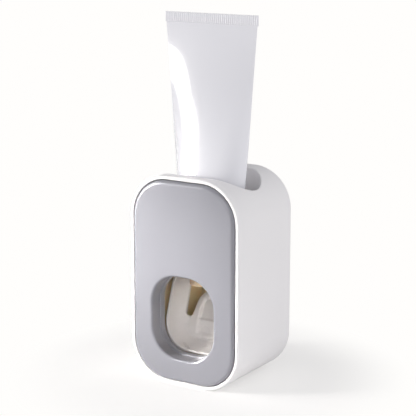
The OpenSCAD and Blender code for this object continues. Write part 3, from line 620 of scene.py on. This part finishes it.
class DISPENSER_OT_stage(bpy.types.Operator):
    """Adds the pale floor, the soft lamps and the room light"""
    bl_idname = "dispenser.stage"
    bl_label = "Stage"

    def execute(self, context):
        colours = context.scene.dispenser_colours
        bpy.ops.object.select_all(action="DESELECT")
        bpy.ops.mesh.primitive_circle_add(vertices=96, radius=FLOOR_R, fill_type="NGON", location=(0, 0, 0))
        floor = context.object
        floor.name = "floor"
        floor.data.materials.append(floor_paint(colours))
        light_world(context.scene)
        inner_lamp = [add_lamp(*lamp) for lamp in LAMPS][-1]
        inner_lamp.visible_camera = False
        inner_lamp.visible_glossy = False
        context.scene.view_settings.view_transform = "Standard"
        return {"FINISHED"}


class DISPENSER_OT_casing(bpy.types.Operator):
    """Models the white casing: a rounded ring closed at the back, with the oval well of the tube"""
    bl_idname = "dispenser.casing"
    bl_label = "Casing"

    def execute(self, context):
        sizes = context.scene.dispenser_sizes
        casing = self.model_ring(sizes)
        self.add_ribs(casing, sizes)
        self.cut_keyholes(casing, sizes)
        self.sink_well(casing, sizes)
        material = plastic("casing_abs", context.scene.dispenser_colours)
        finish_piece(casing, "casing", material, ["outer_shell"])
        return {"FINISHED"}

    def model_ring(self, sizes):
        """The ring wall and the back, lofted from the back's outer face round the rim to its inner face."""
        middle = sizes.casing_h / 2

        def ring(inset, depth):
            return (sizes.casing_w - 2 * inset, sizes.casing_h - 2 * inset, sizes.corner_r - inset,
                    Vector((0, depth, middle)))

        back = sizes.casing_back
        front = sizes.casing_front
        wall = sizes.wall
        slope = 1 * MM
        rings = [ring(inset, back - sizes.back_round + along)
                 for inset, along in reversed(quarter(6, sizes.back_round))]
        rings += [ring(inset, front + sizes.rim_round - along)
                  for inset, along in quarter(5, sizes.rim_round)]
        rings += [ring(wall - inset, front + sizes.mouth_round - along)
                  for inset, along in reversed(quarter(4, sizes.mouth_round))]
        rings.append(ring(wall, back - sizes.back_wall - slope))
        rings.append(ring(wall + slope, back - sizes.back_wall))
        return loft("casing", rings)

    def add_ribs(self, casing, sizes):
        """The ledges that steady the carrier and the rails under its floor, moulded inside the casing."""
        root = 0.5 * MM
        inner = sizes.casing_w / 2 - sizes.wall
        back = sizes.casing_back - sizes.back_wall + root
        half = sizes.rib_t / 2
        for side in (-1, 1):
            for height in (sizes.rib_low, sizes.rib_high):
                near, far = sorted((side * sizes.rib_in, side * (inner + root)))
                rib = box_between("rib", (near, sizes.rib_front, height), (far, back, height + sizes.rib_t))
                cut(casing, rib, "UNION")
            rail = side * sizes.rail_x
            rib = box_between("rail", (rail - half, sizes.rail_front, sizes.wall - root),
                              (rail + half, back, sizes.rail_top))
            cut(casing, rib, "UNION")

    def cut_keyholes(self, casing, sizes):
        """The two keyholes that hang the dispenser on screws."""
        back = sizes.casing_back
        through = 5 * MM
        half = sizes.key_slot / 2
        top = sizes.key_z + sizes.key_rise
        for side in (-1, 1):
            x = side * sizes.key_pitch / 2
            cut(casing, rod(sizes.key_r, (x, back, sizes.key_z), 2 * through, (math.pi / 2, 0, 0)))
            cut(casing, loft("slot", [
                (sizes.key_slot, 2 * sizes.key_rise, half - HAIR, Vector((x, y, top + half - sizes.key_rise)))
                for y in (back - through, back + through)]))

    def skin_height(self, x, sizes, inset):
        """Height of the casing's top skin, or of one that lies further in, at a place across the casing."""
        bend = sizes.casing_w / 2 - sizes.corner_r
        radius = sizes.corner_r - inset
        steepest = 0.98
        over = clamp(abs(x) - bend, 0, steepest * radius)
        return sizes.casing_h - sizes.corner_r + math.sqrt(radius ** 2 - over ** 2)

    def outward(self, place, sizes):
        """Level direction that points straight out of the oval well."""
        straight = (sizes.well_len - sizes.well_wid) / 2
        across = place.x - clamp(place.x, -straight, straight)
        return Vector((across, place.y, 0)).normalized()

    def lip_point(self, start, sizes, share):
        """A point on the lip's rounding, from the skin (share 0) to the upright inner wall (share 1)."""
        out = self.outward(start, sizes)
        over = max(abs(start.x) - (sizes.casing_w / 2 - sizes.corner_r), 0)
        lean = math.atan(over / math.sqrt(sizes.corner_r ** 2 - over ** 2) * abs(out.x))
        radius = sizes.well_lip / (1 + math.sin(lean))
        heading = lean - (math.pi / 2 + lean) * share
        inwards = radius * (math.sin(lean) - math.sin(heading))
        up = radius * (math.cos(heading) - math.cos(lean))
        return start - out * inwards + Vector((0, 0, up))

    def sink_well(self, casing, sizes):
        """Opens the top with the oval hole and draws its lip, its inner wall, its foot and its outer wall."""
        lip = sizes.well_lip
        steps = 6
        inside = 8 * MM
        above = 5 * MM
        hole = oval_block("hole", sizes.well_len + 2 * lip, sizes.well_wid + 2 * lip,
                          sizes.well_foot + inside, sizes.casing_h + above)
        cut(casing, hole)
        self.clear_hole(casing, sizes)
        self.pick_loop(casing, sizes, outer=True)
        place_selected(casing, lambda place: place)
        for step in range(1, steps + 1):
            draw_out(casing, lambda start: self.lip_point(start, sizes, step / steps))

        def foot_of_lip(start):
            place = self.lip_point(start, sizes, 1)
            return Vector((place.x, place.y, sizes.well_foot))

        def under_skin(place):
            moved = place + self.outward(place, sizes) * (sizes.well_wall - lip)
            return Vector((moved.x, moved.y, self.skin_height(moved.x, sizes, sizes.wall)))

        draw_out(casing, foot_of_lip)
        self.pick_loop(casing, sizes, outer=False)
        place_selected(casing, under_skin)
        draw_out(casing, lambda start: Vector((start.x, start.y, sizes.well_foot)))
        select_edges(casing, lambda edge: edge.is_boundary)
        bpy.ops.mesh.fill()
        close_edit()

    def clear_hole(self, casing, sizes):
        """Takes away the faces that the cut left on the hole's sides, and the slivers round it."""
        mesh = edit(casing, "FACE")
        nearly = 0.02 * MM
        sliver = 0.03 * MM
        straight = (sizes.well_len - sizes.well_wid) / 2
        reach = sizes.well_wid / 2 + sizes.well_lip
        lowest = sizes.well_foot + sizes.well_room
        for face in mesh.faces:
            face.select = all(
                abs(math.hypot(max(abs(vertex.co.x) - straight, 0), vertex.co.y) - reach) < nearly
                and vertex.co.z > lowest for vertex in face.verts)
        bmesh.update_edit_mesh(casing.data)
        bpy.ops.mesh.delete(type="FACE")
        bpy.ops.mesh.select_all(action="SELECT")
        bpy.ops.mesh.remove_doubles(threshold=sliver)

    def pick_loop(self, casing, sizes, outer):
        """Selects the edge of the hole in the outer skin or in the inner one."""
        bpy.ops.mesh.select_mode(type="EDGE")
        bpy.ops.mesh.select_all(action="DESELECT")

        def belongs(edge):
            middle = (edge.verts[0].co + edge.verts[1].co) / 2
            depth = self.skin_height(middle.x, sizes, 0) - middle.z
            high = middle.z > sizes.well_foot + sizes.well_room
            return edge.is_boundary and high and (depth < sizes.wall / 2) == outer

        select_edges(casing, belongs)


class DISPENSER_OT_cover(bpy.types.Operator):
    """Models the grey cover: a pillowed face with the brush window, its tunnel and the skirt"""
    bl_idname = "dispenser.cover"
    bl_label = "Cover"

    def execute(self, context):
        sizes = context.scene.dispenser_sizes
        middle = sizes.casing_h / 2
        window_z = sizes.window_z + sizes.window_h / 2
        border = sizes.wall + sizes.cover_gap
        face = sizes.cover_face
        slope = 0.15 * MM

        def outer(inset, depth):
            total = border + inset
            return (sizes.casing_w - 2 * total, sizes.casing_h - 2 * total, sizes.corner_r - total,
                    Vector((0, depth, middle)))

        def window(outset, depth):
            return (sizes.window_w + 2 * outset, sizes.window_h + 2 * outset, sizes.window_r + outset,
                    Vector((0, depth, window_z)))

        rings = [outer(0, sizes.cover_end)]
        rings += [outer(inset, face + sizes.cover_round - along)
                  for inset, along in quarter(7, sizes.cover_round)]
        face_ring = len(rings)
        rings += [window(sizes.lip_round - along, face + inset)
                  for inset, along in quarter(5, sizes.lip_round)]
        rings += [
            window(0, sizes.step_depth), window(-sizes.tunnel_step, sizes.step_depth + slope),
            window(-sizes.tunnel_step, sizes.tunnel_end), window(sizes.tunnel_wall, sizes.tunnel_end),
            window(sizes.tunnel_wall, face + sizes.cover_t), outer(sizes.skirt_t, face + sizes.cover_t),
            outer(sizes.skirt_t, sizes.cover_end)]
        cover = loft("cover", rings, ends="joined", cut_ring=face_ring, cuts=14)
        self.crown(cover, sizes, middle)
        material = plastic("cover_abs", context.scene.dispenser_colours)
        finish_piece(cover, "cover", material, ["front_cover"])
        return {"FINISHED"}

    def crown(self, cover, sizes, middle):
        """Lets the face fall back a little towards its edges, as a pillowed moulding does."""
        half_w = sizes.casing_w / 2
        half_h = sizes.casing_h / 2
        side_share = 0.7
        end_share = 0.3
        for vertex in cover.data.vertices:
            if vertex.co.y < sizes.cover_face + sizes.cover_round:
                across = vertex.co.x / half_w
                up = (vertex.co.z - middle) / half_h
                vertex.co.y += sizes.cover_crown * (side_share * across ** 2 + end_share * up ** 2)


class DISPENSER_OT_cup(bpy.types.Operator):
    """Models the push cup: a round bowl, a wall that leans back, two slots, the tongue and the arms"""
    bl_idname = "dispenser.cup"
    bl_label = "Push cup"

    def execute(self, context):
        sizes = context.scene.dispenser_sizes
        cup = self.model_block(sizes, 0, "cup")
        hollow = self.model_block(sizes, sizes.cup_wall, "hollow")
        cut(cup, hollow)
        self.cut_slots(cup, sizes)
        added = [self.model_tongue(sizes)]
        for side in (-1, 1):
            added += self.model_arm(sizes, side)
        join(cup, added)
        apply_modifier(cup, "REMESH", {"mode": "VOXEL", "voxel_size": 0.36 * MM})
        apply_modifier(cup, "SMOOTH", {"factor": 0.5, "iterations": 7})
        cut(cup, cross_rod(sizes.pin_r, sizes.hinge_y, sizes.hinge_z, -sizes.cup_w, sizes.cup_w))
        material = plastic("cup_abs_painted_shade", context.scene.dispenser_colours)
        finish_piece(cup, "cup", material, ["push_cup"], angle=60)
        return {"FINISHED"}

    def model_block(self, sizes, inset, name):
        """The cup's full form, inset or not: rounded below and behind, and leaning back from the knee."""
        tall = 80 * MM
        least_r = 0.3 * MM
        open_front = 5 * MM
        round_r = sizes.cup_r - inset
        back = sizes.cup_back - inset
        front = sizes.rim_y - (open_front if inset else 0)
        width = sizes.cup_w - 2 * inset
        middle = sizes.cup_foot + inset + tall / 2

        def ring(step_in, depth):
            return (width - 2 * step_in, tall - 2 * step_in, max(round_r - step_in, least_r),
                    Vector((0, depth, middle)))

        rings = [ring(0, front)]
        rings += [ring(step_in, back - round_r + along) for step_in, along in quarter(14, round_r - least_r)]
        block = loft(name, rings)
        mesh = edit(block)
        knee = Vector((0, 0, sizes.knee_z))
        bmesh.ops.bisect_plane(mesh, geom=mesh.verts[:] + mesh.edges[:] + mesh.faces[:], plane_co=knee,
                               plane_no=(0, 0, 1))
        for vertex in mesh.verts:
            vertex.co.y += max(vertex.co.z - sizes.knee_z, 0) * math.tan(sizes.cup_lean)
        bmesh.update_edit_mesh(block.data)
        bpy.ops.object.mode_set(mode="OBJECT")
        if inset == 0:
            far = 60 * MM
            cut(block, box_between("above", (-far, -far, sizes.cup_top), (far, far, 3 * far)))
        return block

    def cut_slots(self, cup, sizes):
        """The slots beside the tongue, with round ends, and the open space above and behind it."""
        reach = 40 * MM
        tall = 60 * MM
        gap_rise = 3.5 * MM
        wall_run = 9 * MM
        front = sizes.cup_back - sizes.cup_wall - wall_run
        for side in (-1, 1):
            cut(cup, loft("slot", [
                (sizes.slot_w, tall, sizes.slot_w / 2 - HAIR,
                 Vector((side * sizes.slot_x, y, sizes.slot_z + tall / 2))) for y in (front, front + reach)]))
        cut(cup, box_between("gap", (-sizes.slot_x, front, sizes.slot_z + gap_rise),
                             (sizes.slot_x, front + reach, sizes.slot_z + tall)))

    def bowl_depth(self, x, z, sizes):
        """Depth of the bowl's inner face behind a point seen from the front."""
        radius = sizes.cup_r - sizes.cup_wall
        inner_back = sizes.cup_back - sizes.cup_wall
        across = max(abs(x) - (sizes.cup_w / 2 - sizes.cup_r), 0)
        below = max(sizes.cup_foot + sizes.cup_r - z, 0)
        curve = math.sqrt(max(radius ** 2 - across ** 2 - below ** 2, 0))
        return inner_back - radius + curve + max(z - sizes.knee_z, 0) * math.tan(sizes.cup_lean)

    def tongue_row(self, z, sizes):
        """Half widths of the tongue's edge and of its crest, and the crest's depth, at a height."""
        z = clamp(z / MM, TONGUE_ROWS[0][0], TONGUE_ROWS[-1][0])
        for low, high in zip(TONGUE_ROWS, TONGUE_ROWS[1:]):
            if z <= high[0]:
                share = (z - low[0]) / (high[0] - low[0])
                return [(a + (b - a) * share) * MM for a, b in zip(low[1:], high[1:])]

    def freedom(self, z, sizes):
        """How far the tongue has left the bowl's wall at a height: 0 is on the wall, 1 stands free."""
        rise = 3 * MM
        return clamp((z - sizes.slot_z) / rise)

    def tongue_front(self, x, z, sizes):
        """Depth of the tongue's front: crest, flank outside it, and the stepped hollow inside it."""
        crest, depth = self.tongue_row(z, sizes)[1:]
        out = abs(x)
        if out > crest:
            return self.flank(out, z, sizes)
        crest_half, upper_wall, more_wall = 0.5 * MM, 1.5 * MM, 0.6 * MM
        step_run, roof_run, foot_run = 0.5 * MM, 1.2 * MM, 2.5 * MM
        roof_drop, dish_foot = 4.5 * MM, 21.5 * MM
        dish_z, dish_tall, dish_wide = 25.5 * MM, 4.2 * MM, 5.5 * MM
        upper_depth, dish_edge, dish_depth = 1.7, 0.5, 1.5
        upper = clamp((z - sizes.shelf_z) / step_run)
        wall = upper_wall + more_wall * (1 - upper)
        into = clamp((crest - out - crest_half) / wall)
        into = into * into * (3 - 2 * into)
        roof = clamp((sizes.tongue_top - roof_drop - z) / roof_run)
        foot = clamp((z - dish_foot) / foot_run)
        dish = dish_edge + dish_depth * math.exp(-((z - dish_z) / dish_tall) ** 2 - (x / dish_wide) ** 2)
        sunk = (upper * upper_depth * roof + (1 - upper) * dish * foot) * MM
        return depth + into * sunk

    def flank(self, out, z, sizes):
        """Depth of the tongue's flank, which bows from the crest to the wall or to the free edge."""
        sunk = 0.2 * MM
        edge_fall = 1.5 * MM
        narrowest = 0.1 * MM
        bow = 1.25
        edge, crest, depth = self.tongue_row(z, sizes)
        free = self.freedom(z, sizes)
        rim = (1 - free) * (self.bowl_depth(edge, z, sizes) + sunk) + free * (depth + edge_fall)
        return depth + (rim - depth) * ((out - crest) / max(edge - crest, narrowest)) ** bow

    def model_tongue(self, sizes):
        """The tongue as a plate, drawn from a flat grid to its front and extruded to its back."""
        low = TONGUE_ROWS[0][0] * MM
        high = sizes.tongue_top
        held_back, free_back, thinnest = 0.8 * MM, 3.4 * MM, 0.5 * MM
        bpy.ops.object.select_all(action="DESELECT")
        bpy.ops.mesh.primitive_grid_add(x_subdivisions=80, y_subdivisions=110, size=2)
        tongue = bpy.context.object
        tongue.name = "tongue"

        def front(place):
            z = low + (place.y + 1) / 2 * (high - low)
            x = place.x * self.tongue_row(z, sizes)[0]
            return Vector((x, self.tongue_front(x, z, sizes), z))

        def behind(place):
            depth = self.tongue_row(place.z, sizes)[2]
            free = self.freedom(place.z, sizes)
            held = self.bowl_depth(place.x, place.z, sizes) + held_back
            y = max((1 - free) * held + free * (depth + free_back), place.y + thinnest)
            return Vector((place.x, y, place.z))

        edit(tongue, "VERT")
        bpy.ops.mesh.select_all(action="SELECT")
        place_selected(tongue, front)
        bpy.ops.mesh.extrude_region_move()
        place_selected(tongue, behind)
        close_edit(2 * HAIR)
        return tongue

    def model_arm(self, sizes, side):
        """An arm with its hinge boss, the heel that stops the cup at rest, and the peg of the spring."""
        overlap, forward, spacer, peg_drop, peg_out = 6 * MM, 2 * MM, 0.8 * MM, 8.5 * MM, 1.6 * MM
        foot_z = sizes.cup_top - overlap
        lean = (foot_z - sizes.knee_z) * math.tan(sizes.cup_lean)
        near = sizes.hinge_y - sizes.boss_r
        far = sizes.hinge_y + sizes.boss_r
        inside = side * (sizes.cup_w / 2 - sizes.cup_wall)
        outside = side * sizes.cup_w / 2
        bearing = side * (sizes.cup_w / 2 - sizes.bearing_len)
        outline = [(sizes.rim_y + lean, foot_z), (sizes.cup_back - sizes.cup_r + lean + forward, foot_z),
                   (far, sizes.hinge_z), (near, sizes.hinge_z)]
        arm = start_piece("arm")
        mesh = bmesh.from_edit_mesh(arm.data)
        corners = [mesh.verts.new((inside, y, z)) for y, z in outline]
        mesh.faces.new(corners)
        bmesh.update_edit_mesh(arm.data)
        bpy.ops.mesh.select_all(action="SELECT")
        bpy.ops.mesh.extrude_region_move(TRANSFORM_OT_translate={"value": (outside - inside, 0, 0)})
        close_edit()
        heel = box_between("heel", (min(inside, outside), near, sizes.hinge_z),
                           (max(inside, outside), sizes.hinge_y, sizes.heel_z))
        return [
            arm, heel,
            cross_rod(sizes.boss_r, sizes.hinge_y, sizes.hinge_z, inside, outside),
            cross_rod(sizes.boss_r - spacer, sizes.hinge_y, sizes.hinge_z, bearing, outside),
            cross_rod(sizes.peg_r, sizes.peg_y, sizes.hinge_z - peg_drop, inside, outside + side * peg_out)]


class DISPENSER_OT_tube(bpy.types.Operator):
    """Models the tube's sleeve, round at the shoulder and flat at its ribbed seal"""
    bl_idname = "dispenser.tube"
    bl_label = "Tube"

    def execute(self, context):
        sizes = context.scene.dispenser_sizes
        sleeve = self.model_sleeve(sizes)
        join(sleeve, [self.model_seal(sizes)])
        material = plastic("tube_laminate", context.scene.dispenser_colours)
        finish_piece(sleeve, "tube", material, ["tube_sleeve"], angle=50)
        return {"FINISHED"}

    def section(self, start, sizes, fall):
        """A point of the sleeve, at a share of its height below the seal, above a point of the circle."""
        bow = 0.5
        round_share = fall * (1 - bow * fall * (1 - fall))
        turn = math.acos(clamp(start.x / sizes.tube_r, -1, 1))
        flat_x = sizes.seal_w / 2 * (1 - 2 * turn / math.pi)
        x = (1 - round_share) * flat_x + round_share * sizes.tube_r * math.cos(turn)
        deep = sizes.tube_r * round_share + sizes.seal_t / 2 * (1 - round_share)
        return x, math.copysign(math.sin(turn) * deep, start.y)

    def model_sleeve(self, sizes):
        """The skin, drawn upwards from the shoulder ring by ring, with its end turned into the seal."""
        levels = 48
        around = 128
        foot = sizes.sleeve_foot
        top = sizes.tube_top - sizes.seal_h
        sleeve = start_piece("tube")
        bpy.ops.mesh.primitive_circle_add(
            vertices=around, radius=sizes.tube_r, location=(0, 0, foot), rotation=(0, 0, math.pi / around))
        bpy.ops.mesh.select_mode(type="EDGE")
        place_selected(sleeve, lambda place: place)
        for level in range(1, levels + 1):
            share = level / levels

            def rise(start):
                x, y = self.section(start, sizes, 1 - share)
                return Vector((x, y, foot + share * (top - foot)))

            draw_out(sleeve, rise)
        bpy.ops.mesh.edge_face_add()
        select_edges(sleeve, lambda edge: edge.is_boundary)
        bpy.ops.mesh.edge_face_add()
        close_edit()
        return sleeve

    def model_seal(self, sizes):
        """The flat seal: a thin bar with the upright ribs that the sealing jaws pressed into both faces."""
        per_rib = 6
        ribs = sizes.seal_ribs
        seal = box_between("seal", (-sizes.seal_w / 2, -sizes.seal_t / 2, sizes.tube_top - sizes.seal_h),
                           (sizes.seal_w / 2, sizes.seal_t / 2, sizes.tube_top))
        edit(seal)
        for parts in (ribs, per_rib):
            select_edges(seal, lambda line: abs(line.verts[0].co.x - line.verts[1].co.x) > sizes.rib_relief)
            bpy.ops.mesh.subdivide(number_cuts=parts - 1)
        mesh = bmesh.from_edit_mesh(seal.data)
        for vertex in mesh.verts:
            wave = 0.5 + 0.5 * math.cos(math.tau * ribs * (vertex.co.x / sizes.seal_w + 0.5))
            vertex.co.y -= math.copysign(sizes.rib_relief * wave, vertex.co.y)
        bmesh.update_edit_mesh(seal.data)
        bpy.ops.object.mode_set(mode="OBJECT")
        return seal


class DISPENSER_OT_bulb(bpy.types.Operator):
    """Models the hollow silicone squeeze bulb with its flange"""
    bl_idname = "dispenser.bulb"
    bl_label = "Squeeze bulb"

    def execute(self, context):
        sizes = context.scene.dispenser_sizes
        material = plastic("milky_silicone", context.scene.dispenser_colours)
        bulb = self.model_bulb(sizes)
        finish_piece(bulb, "casing", material, ["pump_bulb"])
        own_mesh(bulb)
        return {"FINISHED"}

    def half_section(self, sizes):
        """Radius and height of the section's points, from the bottom over the flange to the inner bottom."""
        arc_steps = 16
        quarters = [math.pi / 2 * step / arc_steps for step in range(arc_steps + 1)]
        inner_r = sizes.bulb_r - sizes.bulb_wall
        middle = sizes.bulb_low + sizes.bulb_r
        outside, inside = [[(radius * math.sin(turn), middle - radius * math.cos(turn)) for turn in quarters]
                           for radius in (sizes.bulb_r, inner_r)]
        under = sizes.bulb_top - sizes.flange_t
        flange = [(sizes.bulb_r, under), (sizes.flange_r, under), (sizes.flange_r, sizes.bulb_top),
                  (inner_r, sizes.bulb_top)]
        return outside + flange + inside[::-1]

    def model_bulb(self, sizes):
        """The section is spun about the bulb's upright axis."""
        bulb = start_line("squeeze_bulb", [
            (radius, sizes.bulb_y, height) for radius, height in self.half_section(sizes)])
        bpy.ops.mesh.select_all(action="SELECT")
        bpy.ops.mesh.spin(steps=72, angle=math.tau, center=(0, sizes.bulb_y, 0), axis=(0, 0, 1))
        close_edit(HAIR)
        return bulb


class DISPENSER_OT_springs(bpy.types.Operator):
    """Winds the two torsion springs round the cup's hinge, with a leg below and a leg above each coil"""
    bl_idname = "dispenser.springs"
    bl_label = "Springs"

    def execute(self, context):
        sizes = context.scene.dispenser_sizes
        material = drawn_steel(context.scene.dispenser_colours)
        for side, node in ((1, "spring_right"), (-1, "spring_left")):
            spring = self.wind_spring("wire_" + node, sizes, side)
            finish_piece(spring, None, material, [node], angle=60)
            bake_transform(spring)
        return {"FINISHED"}

    def wire_path(self, sizes, side):
        """Points of the wire: the leg on the cup, the coil and the leg on the carrier."""
        per_turn = 32
        steps = per_turn * sizes.coil_turns
        leg_y = sizes.hinge_y - sizes.coil_r
        coil = []
        for step in range(steps + 1):
            turn = math.pi - step * math.tau / per_turn
            coil.append((side * (sizes.coil_in + sizes.coil_len * step / steps),
                         sizes.hinge_y + sizes.coil_r * math.cos(turn),
                         sizes.hinge_z + sizes.coil_r * math.sin(turn)))
        foot = (side * sizes.coil_in, leg_y, sizes.hinge_z - sizes.leg_low)
        head = (side * (sizes.coil_in + sizes.coil_len), leg_y, sizes.hinge_z + sizes.leg_high)
        return [foot] + coil + [head]

    def wind_spring(self, name, sizes, side):
        """The path becomes a curve with a round section and then a mesh."""
        start_line(name, self.wire_path(sizes, side))
        bpy.ops.object.mode_set(mode="OBJECT")
        bpy.ops.object.convert(target="CURVE")
        wire = bpy.context.object
        wire.data.bevel_depth = sizes.wire_r
        wire.data.bevel_resolution = 3
        wire.data.use_fill_caps = True
        bpy.ops.object.convert(target="MESH")
        spring = bpy.context.object
        edit(spring)
        close_edit(HAIR)
        return spring


class DISPENSER_OT_finishes(bpy.types.Operator):
    """Gives every CAD piece that stays on show its material"""
    bl_idname = "dispenser.finishes"
    bl_label = "Inner pieces"

    def execute(self, context):
        colours = context.scene.dispenser_colours
        for material, nodes in (
                (plastic("amber_polycarbonate", colours),
                 ["carrier_frame", "bulb_clamp", "pump_head", "nozzle_cap"]),
                (plastic("cup_abs_painted_shade", colours), ["valve_seat", "press_pad"]),
                (plastic("milky_silicone", colours),
                 ["duct_plug", "inlet_valve", "neck_grommet", "outlet_nozzle"]),
                (drawn_steel(colours), ["pin_left", "pin_right", "head_screws", "clamp_screws"]),
                (plastic("shoulder_polyethylene", colours), ["tube_shoulder"])):
            for node in nodes:
                dress(node, material)
        return {"FINISHED"}


class DISPENSER_PT_panel(bpy.types.Panel):
    """Lists the dispenser's pieces in the sidebar"""
    bl_idname = "DISPENSER_PT_panel"
    bl_label = "Toothpaste dispenser"
    bl_space_type = "VIEW_3D"
    bl_region_type = "UI"
    bl_category = "Dispenser"

    def draw(self, context):
        for operator in OPERATORS:
            self.layout.operator(operator.bl_idname)


OPERATORS = (
    DISPENSER_OT_camera,
    DISPENSER_OT_stage,
    DISPENSER_OT_casing,
    DISPENSER_OT_cover,
    DISPENSER_OT_cup,
    DISPENSER_OT_tube,
    DISPENSER_OT_bulb,
    DISPENSER_OT_springs,
    DISPENSER_OT_finishes,
)
GROUPS = {
    "dispenser_sizes": DispenserSizes,
    "dispenser_colours": DispenserColours,
    "dispenser_view": DispenserView,
}


def register():
    for group in GROUPS.values():
        bpy.utils.register_class(group)
    for name, group in GROUPS.items():
        setattr(bpy.types.Scene, name, bpy.props.PointerProperty(type=group))
    for operator in OPERATORS:
        bpy.utils.register_class(operator)
    bpy.utils.register_class(DISPENSER_PT_panel)


def unregister():
    bpy.utils.unregister_class(DISPENSER_PT_panel)
    for operator in reversed(OPERATORS):
        bpy.utils.unregister_class(operator)
    for name in GROUPS:
        delattr(bpy.types.Scene, name)
    for group in GROUPS.values():
        bpy.utils.unregister_class(group)


def main():
    register()
    bpy.ops.dispenser.camera()
    bpy.ops.dispenser.stage()
    bpy.ops.dispenser.casing()
    bpy.ops.dispenser.cover()
    bpy.ops.dispenser.cup()
    bpy.ops.dispenser.tube()
    bpy.ops.dispenser.bulb()
    bpy.ops.dispenser.springs()
    bpy.ops.dispenser.finishes()


if __name__ == "__main__":
    main()
